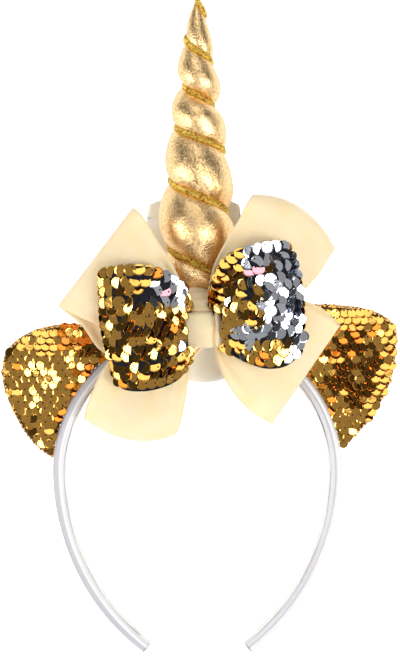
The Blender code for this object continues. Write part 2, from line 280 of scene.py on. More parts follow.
@dataclass(frozen=True)
class Satin(Finish):
    """Woven polyester satin, with painted shade and highlight: a grey stripe with a light ridge
    along each leg of the band, standing in for the wrap's shallow folds.
    """

    # Painted shade and highlight: grey stripes and a light ridge across the band's width, one set
    # for each leg.
    left_leg_painted_shade: tuple = ((0.0, "#CBCACF"), (0.2, "#B6B5BB"), (0.3, "#BFBEC4"),
                       (0.335, "#ECECEE"), (0.38, "#D8D8DB"), (0.5, "#E2E2E4"), (1.0, "#D5D4D9"))
    right_leg_painted_shade: tuple = ((0.0, "#E2E2E4"), (0.285, "#E6E6E8"), (0.32, "#B4B3BA"),
                        (0.35, "#CFCED3"), (0.5, "#D8D8DB"), (1.0, "#D5D4D9"))
    round_mm: float = 30.0
    thread_mm: float = 0.5

    def make(self) -> bpy.types.Material:
        """Makes the material: silky streaks along the cloth, over the painted fold shade and
        highlight.
        """
        made, tree, shader = self.start()
        uv = add_node(tree, "ShaderNodeTexCoord").outputs["UV"]
        parts = add_node(tree, "ShaderNodeSeparateXYZ", links={0: uv})
        across = add_node(tree, "ShaderNodeMapRange", {2: self.round_mm * MM},
                          {0: parts.outputs["X"]})
        side = add_node(tree, "ShaderNodeMapRange", {1: 0.15, 2: 0.24}, {0: parts.outputs["Y"]})
        # Painted fold shade and highlight: the left leg's stripes give way to the right leg's along
        # the band.
        left, right = [add_node(tree, "ShaderNodeValToRGB", {"stops": stops},
                                {"Fac": across.outputs[0]}).outputs["Color"]
                       for stops in (self.left_leg_painted_shade, self.right_leg_painted_shade)]
        tint = add_node(tree, "ShaderNodeMix", {"data_type": "RGBA"},
                        {0: side.outputs[0], 6: left, 7: right})
        along = add_node(tree, "ShaderNodeMapping", {"Scale": (1.0, 0.08, 1.0)}, {"Vector": uv})
        threads = add_node(tree, "ShaderNodeTexNoise",
                           {"Scale": 1 / (self.thread_mm * MM), "Detail": 3.0},
                           {"Vector": along.outputs[0]})
        bump = add_node(tree, "ShaderNodeBump", {"Strength": 0.35, "Distance": 0.00012},
                        {"Height": threads.outputs["Fac"]})
        tree.links.new(tint.outputs[2], shader.inputs["Base Color"])
        tree.links.new(bump.outputs[0], shader.inputs["Normal"])
        return made


@dataclass(frozen=True)
class Grosgrain(Finish):
    """Woven polyester grosgrain: fine ribs across the ribbon, drawn at 0.9 mm so that they show."""

    base: str = "#FFE4C2"
    # Deep: partly random tone, partly painted shade in the valleys between the ribs.
    deep: str = "#FFD99A"
    rib_mm: float = 0.9
    rib_height: float = 0.00005
    cloud_mm: float = 11.1
    glow: float = 0.4

    def make(self) -> bpy.types.Material:
        """Makes the material: cross ribs, a thread fuzz, and a deeper yellow that follows a random
        cloud of tone and, as painted shade, the valleys between the ribs.
        """
        made, tree, shader = self.start()
        shader.inputs["Subsurface Weight"].default_value = self.glow
        shader.inputs["Subsurface Radius"].default_value = (1.0, 0.6, 0.25)
        shader.inputs["Subsurface Scale"].default_value = 0.002
        uv = add_node(tree, "ShaderNodeTexCoord").outputs["UV"]
        ribs = add_node(tree, "ShaderNodeTexWave",
                        {"wave_type": "BANDS", "bands_direction": "Y",
                         "Scale": wave_scale(self.rib_mm), "Distortion": 0.4, "Detail": 1.0},
                        {"Vector": uv})
        cloud = add_node(tree, "ShaderNodeTexNoise",
                         {"Scale": 1 / (self.cloud_mm * MM), "Detail": 3.0}, {"Vector": uv})
        # Mixes the ribs into the cloud, so the rib valleys take the painted shade.
        both = add_node(tree, "ShaderNodeMix", {"data_type": "FLOAT", 0: 0.65},
                        {2: ribs.outputs["Fac"], 3: cloud.outputs["Fac"]})
        return self.dress(made, both.outputs[0], ((0.15, self.deep), (0.7, self.base)),
                          ribs.outputs["Fac"], 0.6, self.rib_height)


@dataclass(frozen=True)
class FoilCloth(Finish):
    """Gold foil printed on stretch cloth: a soft metal gloss broken by a fine crackle."""

    base: str = "#F8D59E"
    worn: str = "#C8985A"
    grain_mm: float = 0.9
    crackle_deep: float = 0.00028
    dent_mm: float = 5.26
    dent_deep: float = 0.0006

    def make(self) -> bpy.types.Material:
        """Makes the material: crackle bump, worn specks, and larger soft dents."""
        made, tree, shader = self.start()
        place = add_node(tree, "ShaderNodeTexCoord").outputs["Object"]
        grain = add_node(tree, "ShaderNodeTexNoise",
                         {"Scale": 1 / (self.grain_mm * MM), "Detail": 4.0, "Roughness": 0.65},
                         {"Vector": place})
        dents = add_node(tree, "ShaderNodeTexNoise",
                         {"Scale": 1 / (self.dent_mm * MM), "Detail": 2.0}, {"Vector": place})
        crackle = add_node(tree, "ShaderNodeBump",
                           {"Strength": 0.8, "Distance": self.crackle_deep},
                           {"Height": grain.outputs["Fac"]})
        return self.dress(made, grain.outputs["Fac"], ((0.34, self.worn), (0.5, self.base)),
                          dents.outputs["Fac"], 0.3, self.dent_deep, crackle.outputs[0])


@dataclass(frozen=True)
class Lurex(Finish):
    """Lurex cord: flat metal threads that glitter as they twist."""

    bright: str = "#FFE06A"
    dark: str = "#B07A1E"
    speck_mm: float = 0.9

    def make(self) -> bpy.types.Material:
        """Makes the material: bright and dark specks the size of one crossing of threads."""
        made, tree, shader = self.start()
        place = add_node(tree, "ShaderNodeTexCoord").outputs["Object"]
        specks = add_node(tree, "ShaderNodeTexVoronoi",
                          {"feature": "F1", "Scale": 1 / (self.speck_mm * MM)},
                          {"Vector": place})
        near = specks.outputs["Distance"]
        return self.dress(made, near, ((0.5, self.bright), (0.78, self.dark)), near, 1.0, 0.0005)


@dataclass(frozen=True)
class SequinFoil(Finish):
    """Metallised film punched into discs: a mirror gloss with the film's slight waves."""

    gold: str = "#E4B057"
    # Painted reflection: the orange-gold of gold discs that would mirror the warm yellow around
    # them.
    amber_painted_reflection: str = "#DE8830"
    rose: str = "#D9A0AC"
    silver: str = "#DDE3EF"
    wave_mm: float = 3.03

    def make(self) -> bpy.types.Material:
        """Makes the material, which reads each disc's foil colour from its tone attribute."""
        made, tree, shader = self.start()
        tone = add_node(tree, "ShaderNodeAttribute", {"attribute_name": "tone"})
        foils = ((Tone.GOLD, self.gold), (Tone.AMBER_PAINTED_REFLECTION, self.amber_painted_reflection), (Tone.ROSE, self.rose),
                 (Tone.SILVER, self.silver))
        place = add_node(tree, "ShaderNodeTexCoord").outputs["Object"]
        film = add_node(tree, "ShaderNodeTexNoise",
                        {"Scale": 1 / (self.wave_mm * MM), "Detail": 2.0}, {"Vector": place})
        return self.dress(made, tone.outputs["Fac"],
                          tuple((foil.value, colour) for foil, colour in foils),
                          film.outputs["Fac"], 0.25, 0.0003)


@dataclass(frozen=True)
class Knit(Finish):
    """Knitted tricot or pressed felt: a dull cloth with a short, uneven nap."""

    base: str = "#1F2029"
    # Painted shade between the loops of the nap.
    deep: str = "#08080C"
    loop_mm: float = 0.7

    def make(self) -> bpy.types.Material:
        """Makes the material: a speckle of loops, with painted light on their tops and painted shade
        between them.
        """
        made, tree, shader = self.start()
        place = add_node(tree, "ShaderNodeTexCoord").outputs["Object"]
        nap = add_node(tree, "ShaderNodeTexNoise",
                       {"Scale": 1 / (self.loop_mm * MM), "Detail": 3.0}, {"Vector": place})
        shader.inputs["Specular IOR Level"].default_value = 0.12
        loops = nap.outputs["Fac"]
        return self.dress(made, loops, ((0.35, self.deep), (0.65, self.base)), loops, 0.6, 0.0002)


class Shelf:
    """The materials, each made once."""

    def __init__(self) -> None:
        """Makes every finish of the headband."""
        self.satin = Satin("polyester_satin", "satin", roughness=0.36, sheen=0.2).make()
        self.lining = Grosgrain("white_grosgrain", "lining_ribbon", roughness=0.6, sheen=0.1,
                                base="#F2F1EE", deep="#DDDCD8", rib_height=0.00012,
                                glow=0.0).make()
        self.ribbon = Grosgrain("yellow_grosgrain", "ribbon", roughness=0.55, sheen=0.25).make()
        # The rear bow wears a paler copy of the yellow grosgrain: painted light, lifting it out of
        # the shade it lies in under the horn.
        self.rear = Grosgrain("yellow_grosgrain_painted_light", "ribbon", roughness=0.55, sheen=0.25,
                              base="#FFFBEC", deep="#FFF4D8").make()
        self.foil = FoilCloth("foil_printed_cloth", "gold_foil", 1.0, 0.27).make()
        self.cord = Lurex("lurex_cord", "gold_cord", 0.45, 0.35).make()
        self.ear_disc = SequinFoil("gold_sequin_film", "ear_sequins", 1.0, 0.13).make()
        self.bow_disc = SequinFoil("two_sided_sequin_film", "bow_sequins", 1.0, 0.12).make()
        self.ear_cloth = Knit("gold_knit", "ear_sequins", roughness=0.7,
                              base="#8A6118", deep="#3A2608").make()
        self.bow_cloth = Knit("navy_tricot", "bow_sequins", roughness=0.7).make()
        self.felt = Knit("tan_felt", "ear_backing", roughness=0.85, sheen=0.5,
                         base="#E6C2A6", deep="#CFA385", loop_mm=0.9).make()
        self.thread = Knit("sewing_thread", "bow_sequins", roughness=0.8,
                           base="#2B2118", deep="#0D0A07", loop_mm=0.3).make()


def new_piece(name: str, points: Grid, faces: list[tuple[int, ...]],
              looks: list[bpy.types.Material]) -> bpy.types.Object:
    """Makes a piece that rides on the headband.

    Args:
        name: the piece's name.
        points: its points in the headband's frame, in mm.
        faces: its faces, as rows of point numbers.
        looks: its materials.
    Returns:
        The object, at the origin.
    """
    mesh = bpy.data.meshes.new(name)
    mesh.from_pydata(seat(points.reshape(-1, 3)).tolist(), [], faces)
    for look in looks:
        mesh.materials.append(look)
    piece = bpy.data.objects.new(name, mesh)
    bpy.context.scene.collection.objects.link(piece)
    mesh.shade_smooth()
    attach(piece, BODY)
    return piece


def deselect_all() -> None:
    """Deselects every object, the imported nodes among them."""
    for other in bpy.context.view_layer.objects:
        other.select_set(False)


def pick(piece: bpy.types.Object) -> None:
    """Selects one object alone and makes it active."""
    deselect_all()
    piece.select_set(True)
    bpy.context.view_layer.objects.active = piece


def grid_faces(rows: int, columns: int, closed_rows: bool = False,
               closed_columns: bool = False) -> list[tuple[int, ...]]:
    """Quads over a grid of points, which may close along either way."""
    faces = []
    for row in range(rows if closed_rows else rows - 1):
        for column in range(columns if closed_columns else columns - 1):
            down, right = (row + 1) % rows, (column + 1) % columns
            faces.append((row * columns + column, row * columns + right,
                          down * columns + right, down * columns + column))
    return faces


@contextmanager
def reshaping(piece: bpy.types.Object) -> Iterator[bmesh.types.BMesh]:
    """Lends a closed piece's mesh for edits, and puts it back with its faces outwards."""
    shape = bmesh.new()
    shape.from_mesh(piece.data)
    yield shape
    bmesh.ops.recalc_face_normals(shape, faces=shape.faces[:])
    shape.to_mesh(piece.data)
    shape.free()


def turn_outwards(piece: bpy.types.Object) -> None:
    """Merges doubled points and turns the faces of a closed piece outwards."""
    with reshaping(piece) as shape:
        bmesh.ops.remove_doubles(shape, verts=shape.verts[:], dist=MERGE)


def map_cloth(piece: bpy.types.Object, rows: int, columns: int, long_mm: float,
              wide_mm: float, closed_rows: bool, closed_columns: bool) -> None:
    """Lays a UV map over a grid of quads, in metres across (U) and along (V)."""
    uv = piece.data.uv_layers.new(name="cloth").data
    tall = rows if closed_rows else rows - 1
    broad = columns if closed_columns else columns - 1
    at = 0
    for row in range(tall):
        for column in range(broad):
            for down, right in ((0, 0), (0, 1), (1, 1), (1, 0)):
                uv[at].uv = ((column + right) / broad * wide_mm * MM,
                             (row + down) / tall * long_mm * MM)
                at += 1


def add_walls(piece: bpy.types.Object, wall_mm: float, offset: float = 0.0) -> None:
    """Gives a sheet its thickness."""
    pick(piece)
    walls = piece.modifiers.new("walls", "SOLIDIFY")
    walls.thickness = wall_mm * MM
    walls.offset = offset
    walls.thickness_clamp = 1.0
    bpy.ops.object.modifier_apply(modifier=walls.name)


def measure_run(points: Grid) -> Grid:
    """The length along a line up to each of its points."""
    return np.concatenate([[0], np.cumsum(np.linalg.norm(np.diff(points, axis=0), axis=1))])


def line_length(points: Grid) -> float:
    """The length of a line of points."""
    return float(np.linalg.norm(np.diff(points, axis=0), axis=1).sum())


@dataclass
class Cloth:
    """A sheet as a grid of points, rows along its length and columns across it.

    Its width is that of the flat cloth, before it was gathered.
    """

    name: str
    grid: Grid
    wide_mm: float
    wall_mm: float
    closed: bool = False

    @property
    def long_mm(self) -> float:
        """The length of the sheet along its middle."""
        middle = self.grid[:, self.grid.shape[1] // 2]
        if self.closed:
            middle = np.concatenate([middle, middle[:1]])
        return line_length(middle)

    def build(self, look: bpy.types.Material, slot: str) -> bpy.types.Object:
        """Makes the piece with its walls and its UV map."""
        rows, columns = self.grid.shape[:2]
        piece = new_piece(self.name, self.grid, grid_faces(rows, columns, self.closed), [look])
        map_cloth(piece, rows, columns, self.long_mm, self.wide_mm, self.closed, False)
        add_walls(piece, self.wall_mm)
        return piece

    def declare(self, piece: bpy.types.Object, held: Held, rests_on: list[str],
                with_pieces: tuple[bpy.types.Object, ...] = ()) -> None:
        """Takes what sheet the piece is and what it lies on, and does nothing with them."""


@dataclass
class Headband:
    """The padded satin band and the narrow ribbon glued along its inside."""

    leg_radius: float = 100.0
    leg_turn: float = 53.0
    thick: float = 5.5
    half_wide: float = 6.0
    steps: int = 240
    lining_inset: float = 5.15
    lining_half: float = 4.5
    slack: float = -0.35
    fold_deep: float = 0.3
    seam_deep: float = -0.75
    seam_at: float = 2.2
    seam_wide: float = 0.4
    cap_rows: int = 4
    cap_step: float = 0.9

    def line(self, steps: int) -> tuple[Grid, Grid]:
        """Follows the outside of the band from its left tip to its right one.

        Args:
            steps: the number of points.
        Returns:
            The points, and the directions inwards.
        """
        leg = self.leg_radius * math.radians(self.leg_turn)
        top = BAND_RADIUS * math.pi
        points, inwards = [], []
        for at in np.linspace(0, 2 * leg + top, steps):
            if leg <= at <= leg + top:
                turn, centre, radius = math.pi - (at - leg) / BAND_RADIUS, 0.0, BAND_RADIUS
            elif at < leg:
                turn = math.pi + (leg - at) / self.leg_radius
                centre, radius = self.leg_radius - BAND_RADIUS, self.leg_radius
            else:
                turn = -(at - leg - top) / self.leg_radius
                centre, radius = BAND_RADIUS - self.leg_radius, self.leg_radius
            out = np.array([math.cos(turn), math.sin(turn), 0.0])
            points.append(np.array([centre, -BAND_RADIUS, 0.0]) + out * radius)
            inwards.append(-out)
        return np.array(points), np.array(inwards)

    def section(self) -> Grid:
        """The band's rounded section as (depth inwards, Z) pairs."""
        half = self.half_wide
        corners = [(0.0, -0.5 * half), (0.0, 0.5 * half), (0.8, 0.86 * half), (2.5, half),
                   (4.6, 0.9 * half), (self.thick, 0.5 * half), (self.thick, -0.5 * half),
                   (4.6, -0.9 * half), (2.5, -half), (0.8, -0.86 * half)]
        loop = np.array(corners[-1:] + corners + corners[:2])
        return smooth_line(loop, 12 * 4 + 1)[4:-4 - 1]

    def build(self, shelf: Shelf) -> None:
        """Makes the band with its long soft folds and gathered tips, and the lining."""
        points, inwards = self.line(self.steps)
        section = self.section()
        count = len(section)
        middle = np.array([self.thick / 2, 0.0])
        cap, rows = self.cap_rows, self.steps + 2 * self.cap_rows
        grid = np.zeros((rows, count, 3))
        for row in range(rows):
            at = min(max(row - cap, 0), self.steps - 1)
            past = max(cap - row, row - cap - self.steps + 1, 0)
            round_off = math.sqrt(max(0.0, 1 - (past / (cap + 0.2)) ** 2))
            along = np.cross(inwards[at], (0, 0, 1)) * (-1 if row < 2 * cap else 1)
            share = at / (self.steps - 1)
            for column, (deep, high) in enumerate(section):
                side = math.atan2(high, deep - middle[0])
                wander = 5 * side + 3.0 * math.sin(9 * share) + 1.0
                fold = self.slack + self.fold_deep * math.sin(wander)
                fold += self.fold_deep * ripple((side * 4.0, share * 14.0, 1.0), 1.6, 3.0)
                seam = math.exp(-((deep - self.seam_at) / self.seam_wide) ** 2)
                seam *= self.seam_deep if high > 0 else 0.0
                scale = round_off * (1 + (fold + seam * (0.35 + 0.65 * share)) / 5.0)
                spot = middle + (np.array([deep, high]) - middle) * scale
                grid[row, column] = (points[at] + inwards[at] * spot[0] + (0, 0, spot[1])
                                     + along * past * self.cap_step)
        band = new_piece("headband_satin", grid,
                         grid_faces(rows, count, closed_columns=True), [shelf.satin])
        map_cloth(band, rows, count, line_length(points), Satin.round_mm, False, True)
        with reshaping(band) as shape:
            rims = [edge for edge in shape.edges if edge.is_boundary]
            bmesh.ops.holes_fill(shape, edges=rims, sides=0)
        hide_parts("headband")
        LOG.info("band: %d rows of %d points", self.steps, count)
        self.build_lining(shelf, points[4:-4], inwards[4:-4])

    def build_lining(self, shelf: Shelf, points: Grid, inwards: Grid) -> None:
        """Makes the ribbon along the inside, a little wavy at its selvedges."""
        grid = np.zeros((len(points), 7, 3))
        for row, (point, inward) in enumerate(zip(points, inwards)):
            for column in range(7):
                share = column / 3 - 1
                lift = 0.3 + 0.15 * share ** 2 * (1 + math.sin(row * 0.31 + share))
                grid[row, column] = (point + inward * (self.lining_inset + lift)
                                     + np.array([0, 0, share * self.lining_half]))
        cloth = Cloth("lining_grosgrain", grid, 10.0, 0.5)
        piece = cloth.build(shelf.lining, "lining_ribbon")
        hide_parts("band_lining")
        cloth.declare(piece, Held.LAID, ["headband_satin"])


@dataclass
class Horn:
    """The stuffed foil horn, cinched by a cord that winds down it."""

    lean: float = math.radians(3.5)
    tip: float = 143.2
    foot: float = -4.6
    sides: int = 72
    rows: int = 20
    puff: float = 0.48
    puckers: float = 0.028
    dents: float = 0.02
    cord_radius: float = 1.0
    cord_from: float = -1.04
    cord_to: float = 4.3
    cord_steps: int = 260
    strands: int = 3
    strand_sides: int = 6
    strand_offset: float = 0.78
    strand_radius: float = 0.62
    strand_pitch: float = 3.4
    cord_heights: tuple = ((-3, 178.0), (-2, 159.0), (-1, 141.6), (0, 120.1), (1, 100.8),
                           (2, 82.3), (3, 57.2), (4, 27.3), (5, -4.0), (6, -36.0), (7, -68.0))
    radii: tuple = ((-40, 9.0), (-6, 10.5), (0, 11.5), (8, 13.5), (18, 15.6), (30, 16.8),
                    (43, 17.3), (56, 16.3), (68, 14.9), (86, 12.7), (97, 11.3), (115, 8.5),
                    (130, 5.1), (135, 3.7), (139, 2.4), (142, 1.3), (180, 0.6))
    groove: tuple = ((-40, 0.7), (27, 0.66), (57, 0.68), (82, 0.72), (101, 0.43), (120, 0.62),
                     (140, 0.7), (180, 0.9))

    def leaned(self, x: float, height: float, z: float) -> Grid:
        """A point of the upright horn, leaned to the front with its axis."""
        cosine, sine = math.cos(self.lean), math.sin(self.lean)
        return np.array([x, height * cosine - z * sine, height * sine + z * cosine])

    def pressed(self, point: Grid, stand_off: float) -> Grid:
        """Keeps a point between the bow in front of the horn and the rear bow behind it."""
        front = 7.0 + 0.85 * max(0.0, point[1] - 12.5)
        floor = -6.0 - (point[1] + 141.4) * math.tan(REST_TILT)
        back = max(-6.2 - 0.3 * max(0.0, point[1]), floor + 3.0)
        point[2] = max(min(point[2], front + stand_off), back - stand_off)
        return point

    def skin(self, turn: float, share: float) -> Grid:
        """A point of the skin, a share of the way from the cord down to its next turn."""
        above = read_table(self.cord_heights, turn)
        height = above + (read_table(self.cord_heights, turn + 1) - above) * share
        outer = read_table(self.radii, height)
        groove = outer * read_table(self.groove, height)
        inside = min(max((share - 0.035) / 0.93, 0.0), 1.0)
        puff = math.sin(math.pi * inside) ** self.puff
        angle = 2 * math.pi * turn
        edge = math.exp(-inside / 0.13) + math.exp(-(1 - inside) / 0.13)
        pucker = math.sin(13 * angle + 2.5 * math.sin(3 * angle)) * math.sin(7.3 * angle + 1)
        radius = groove + (outer - groove) * puff
        radius += edge * self.puckers * outer * pucker * (1 - math.exp(-inside / 0.02))
        spot = self.leaned(radius * math.sin(angle), height, radius * math.cos(angle))
        radius += self.dents * outer * ripple(spot, 6.5, 2.0)
        spot = self.leaned(radius * math.sin(angle), height, radius * math.cos(angle))
        return self.pressed(spot, 0.0)

    def build(self, shelf: Shelf) -> None:
        """Makes the skin, cut off at the tip and the foot, and winds the cord round it."""
        stations = round(7.8 * self.sides)
        grid = np.array([[self.skin(-2.4 + step / self.sides, row / self.rows)
                          for row in range(self.rows)]
                         for step in range(stations + self.sides)])
        faces = []
        for step in range(stations - 1):
            for row in range(self.rows):
                low = [(step, row + 1), (step + 1, row + 1)]
                if row == self.rows - 1:
                    low = [(step + self.sides, 0), (step + 1 + self.sides, 0)]
                corners = [(step, row), (step + 1, row), low[1], low[0]]
                faces.append(tuple(one * self.rows + other for one, other in corners))
        horn = new_piece("horn_foil", grid, faces, [shelf.foil])
        self.trim(horn)
        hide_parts("horn")
        self.build_cord(shelf)
        LOG.info("horn: %d faces", len(horn.data.polygons))

    def trim(self, horn: bpy.types.Object) -> None:
        """Cuts the skin off at its tip and foot, closes it, and turns its faces outwards."""
        with reshaping(horn) as shape:
            bmesh.ops.remove_doubles(shape, verts=shape.verts[:], dist=MERGE)
            for height, way in ((self.tip, 1.0), (self.foot, -1.0)):
                axis = self.leaned(0.0, height, 0.0)
                ends = seat(np.array([axis, self.leaned(0.0, height + way, 0.0)]))
                cut = bmesh.ops.bisect_plane(
                    shape, geom=shape.verts[:] + shape.edges[:] + shape.faces[:],
                    plane_co=ends[0], plane_no=ends[1] - ends[0], clear_outer=True)
                rim = [part for part in cut["geom_cut"] if isinstance(part, bmesh.types.BMEdge)]
                bmesh.ops.holes_fill(shape, edges=rim, sides=0)
            loose = [vert for vert in shape.verts if not vert.link_faces]
            bmesh.ops.delete(shape, geom=loose, context="VERTS")

    def build_cord(self, shelf: Shelf) -> None:
        """Twists three strands of lurex into the cord that lies in the groove."""
        steps = round((self.cord_to - self.cord_from) * self.cord_steps)
        middles = np.zeros((steps + 1, 3))
        for step in range(steps + 1):
            turn = self.cord_from + step / self.cord_steps
            height = read_table(self.cord_heights, turn)
            radius = read_table(self.radii, height) * read_table(self.groove, height)
            radius += self.cord_radius
            angle = 2 * math.pi * turn
            middle = self.leaned(radius * math.sin(angle), height, radius * math.cos(angle))
            middles[step] = self.pressed(middle, self.cord_radius)
        along = np.gradient(middles, axis=0)
        along /= np.linalg.norm(along, axis=1)[:, None]
        out = np.cross(along, self.leaned(0.0, 1.0, 0.0))
        out /= np.linalg.norm(out, axis=1)[:, None]
        up = np.cross(out, along)
        run = measure_run(middles)
        points, faces = [], []
        sides = self.strand_sides
        for strand in range(self.strands):
            first = len(points)
            twist = 2 * math.pi * (run / self.strand_pitch + strand / self.strands)
            offset = out * np.cos(twist)[:, None] + up * np.sin(twist)[:, None]
            centre = middles + offset * self.strand_offset
            for step in range(steps + 1):
                for side in range(sides):
                    turn = 2 * math.pi * side / sides + twist[step]
                    way = out[step] * math.cos(turn) + up[step] * math.sin(turn)
                    points.append(centre[step] + way * self.strand_radius)
            quads = grid_faces(steps + 1, sides, closed_columns=True)
            quads += [tuple(range(sides)), tuple(steps * sides + side for side in range(sides))]
            faces += [tuple(first + corner for corner in quad) for quad in quads]
        cord = new_piece("horn_braid", np.array(points), faces, [shelf.cord])
        turn_outwards(cord)
        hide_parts("horn_cord")


class Mirror(Enum):
    """Places round the studio, in the headband's frame in mm, that a sequin may mirror."""

    KEY = (685.0, -230.0, 1070.0)
    FILL = (-1120.0, -190.0, 760.0)
    LOW = (60.0, -1150.0, 950.0)
    CARD = (0.0, 1000.0, 1000.0)
    DARK_LEFT = (-1050.0, 630.0, 840.0)
    DARK_RIGHT = (1110.0, 540.0, 855.0)
    ROOM = (-520.0, -720.0, 930.0)
    ABOVE = (-160.0, 120.0, 1200.0)


class Glint(Enum):
    """How one sequin looks: the place it mirrors, and its foil's tone."""

    WHITE_GOLD = (Mirror.KEY, Tone.GOLD)
    YELLOW = (Mirror.CARD, Tone.GOLD)
    # Painted reflection: a gold disc given the orange-gold tone for the warm yellow it would mirror.
    ORANGE_PAINTED_REFLECTION = (Mirror.CARD, Tone.AMBER_PAINTED_REFLECTION)
    BROWN = (Mirror.DARK_LEFT, Tone.GOLD)
    WHITE = (Mirror.KEY, Tone.SILVER)
    GREY = (Mirror.ROOM, Tone.SILVER)
    DARK = (Mirror.DARK_RIGHT, Tone.SILVER)
    PINK = (Mirror.CARD, Tone.ROSE)


def facing(place: Grid, mirror: Mirror) -> Grid:
    """The way a disc must face for the camera to see a place of the studio in it."""
    half = np.zeros(3)
    for far in (EYE, mirror.value):
        away = np.array(far) - place
        half += away / np.linalg.norm(away)
    return half / np.linalg.norm(half)


@dataclass
class Patch:
    """A place, in the photograph's pixels, where the sequins mirror something else."""

    at: tuple[float, float]
    reach: tuple[float, float]
    mirror: Mirror | None = None
    tone: Tone | None = None
    share: float = 1.0
    # Painted shade: a patch may leave its sequins off, so the dark navy cloth shows where a fold is
    # dark.
    bared_for_painted_shade: bool = False

    def holds(self, place: tuple[float, float]) -> bool:
        """Whether a place of the photograph, in pixels, lies in the patch."""
        across = (place[0] - self.at[0]) / self.reach[0]
        down = (place[1] - self.at[1]) / self.reach[1]
        return across * across + down * down < 1.0


@dataclass
class SequinField:
    """Sequins sewn to a cloth, modelled once and copied into one piece."""

    name: str
    radius: float
    tone: Tone
    patches: tuple[Patch, ...] = ()
    glints: tuple[tuple[float, float, Glint], ...] = ()
    loose: float = 0.06
    stitch: tuple[float, float] = (0.0, 1.0)
    swing: float = 0.3
    film: float = 0.1
    thread: float = 0.38
    hole_out: float = 0.62
    catch: float = 9.0
    stand: float = 0.4
    stand_vary: float = 0.15
    tilt_lift: float = 2.2
    tilt_from: float = 0.96
    places: list = field(default_factory=list)
    bases: list = field(default_factory=list)
    normals: list = field(default_factory=list)
    tones: list = field(default_factory=list)
    spins: list = field(default_factory=list)

    def model_one(self) -> tuple[Grid, list[tuple[int, ...]], list[int]]:
        """Models one dished disc with its stitch hole.

        Returns:
            Its points in mm, its faces, and each face's material number.
        """
        parts = []
        for sides, size, thick, out in ((14, self.radius, self.film, 0.0),
                                        (6, self.thread, 3 * self.film,
                                         self.hole_out * self.radius)):
            deselect_all()
            bpy.ops.mesh.primitive_cylinder_add(
                vertices=sides, radius=size, depth=thick, location=(0.0, out, 0.0))
            disc = bpy.context.object
            bpy.ops.object.transform_apply(location=True, rotation=False, scale=False)
            if not parts:
                bpy.ops.object.mode_set(mode="EDIT")
                shape = bmesh.from_edit_mesh(disc.data)
                for part in shape.faces:
                    part.select = abs(part.normal.z) > 0.5
                bmesh.update_edit_mesh(disc.data)
                bpy.ops.mesh.inset(thickness=0.2 * size, depth=0.0)
                bpy.ops.transform.translate(value=(0.0, 0.0, -0.07))
                bpy.ops.object.mode_set(mode="OBJECT")
            parts.append(disc)
        points, faces, looks = [], [], []
        for number, disc in enumerate(parts):
            first = len(points)
            points += [tuple(vert.co) for vert in disc.data.vertices]
            for polygon in disc.data.polygons:
                faces.append(tuple(first + corner for corner in polygon.vertices))
                looks.append(number)
            mesh = disc.data
            bpy.data.objects.remove(disc)
            bpy.data.meshes.remove(mesh)
        return np.array(points), faces, looks

    def sew(self, place: Grid, normal: Grid, pace: random.Random) -> None:
        """Sews one sequin on, turned and coloured as its patch says."""
        tone, mirror, spot = self.tone, None, showing(place)
        for patch in self.patches:
            if normal[2] > 0.1 and patch.holds(spot) and pace.random() < patch.share:
                # Leaves the sequin off: painted shade of a dark fold.
                if patch.bared_for_painted_shade:
                    return
                mirror = patch.mirror or mirror
                tone = patch.tone or tone
        lean = np.array([pace.gauss(0.0, self.loose), pace.gauss(0.0, self.loose), 0.0])
        if mirror:
            lean = lean + facing(place, mirror)
        else:
            lean = lean + normal - 0.06 * np.array([*self.stitch, 0.0])
        self.places.append(place)
        self.bases.append(normal)
        self.normals.append(lean / np.linalg.norm(lean))
        self.tones.append(tone.value + pace.uniform(-0.03, 0.03))
        self.spins.append(math.atan2(self.stitch[1], self.stitch[0])
                          + pace.gauss(0.0, self.swing))

    def catch_light(self) -> None:
        """Turns the sequin nearest to each glint of the photograph the way it lies there."""
        spots = np.array([showing(place) for place in self.places])
        away = np.array([0.0 if normal[2] > 0.3 else 1000.0 for normal in self.bases])
        for x, y, glint in self.glints:
            gaps = np.hypot(spots[:, 0] - x, spots[:, 1] - y) + away
            nearest = int(np.argmin(gaps))
            if gaps[nearest] < self.catch:
                mirror, tone = glint.value
                self.normals[nearest] = facing(self.places[nearest], mirror)
                self.tones[nearest] = tone.value

    def build(self, looks: list[bpy.types.Material], slot: str) -> bpy.types.Object:
        """Copies the sequin to every place in one mesh, with each one's tone."""
        self.catch_light()
        pace = random.Random(len(self.places))
        shape, shape_faces, shape_looks = self.model_one()
        points, faces, numbers = [], [], []
        for place, base, normal, spin in zip(self.places, self.bases, self.normals, self.spins):
            right = np.cross((math.cos(spin), math.sin(spin), 0.0), normal)
            right /= np.linalg.norm(right)
            axes = np.array([right, np.cross(normal, right), normal])
            first = len(points)
            tilt = max(0.0, self.tilt_from - float(base @ normal))
            lift = self.stand + pace.random() * self.stand_vary + self.tilt_lift * tilt
            points += (shape @ axes + place + base * lift).tolist()
            faces += [tuple(first + corner for corner in quad) for quad in shape_faces]
            numbers += shape_looks
        piece = new_piece(self.name, np.array(points), faces, looks)
        piece.data.polygons.foreach_set("material_index", numbers)
        piece.data.shade_flat()
        tones = np.repeat(np.clip(np.array(self.tones, dtype=np.float32), 0, 1), len(shape))
        piece.data.attributes.new("tone", "FLOAT", "POINT").data.foreach_set("value", tones)
        LOG.info("%s: %d sequins", self.name, len(self.places))
        return piece


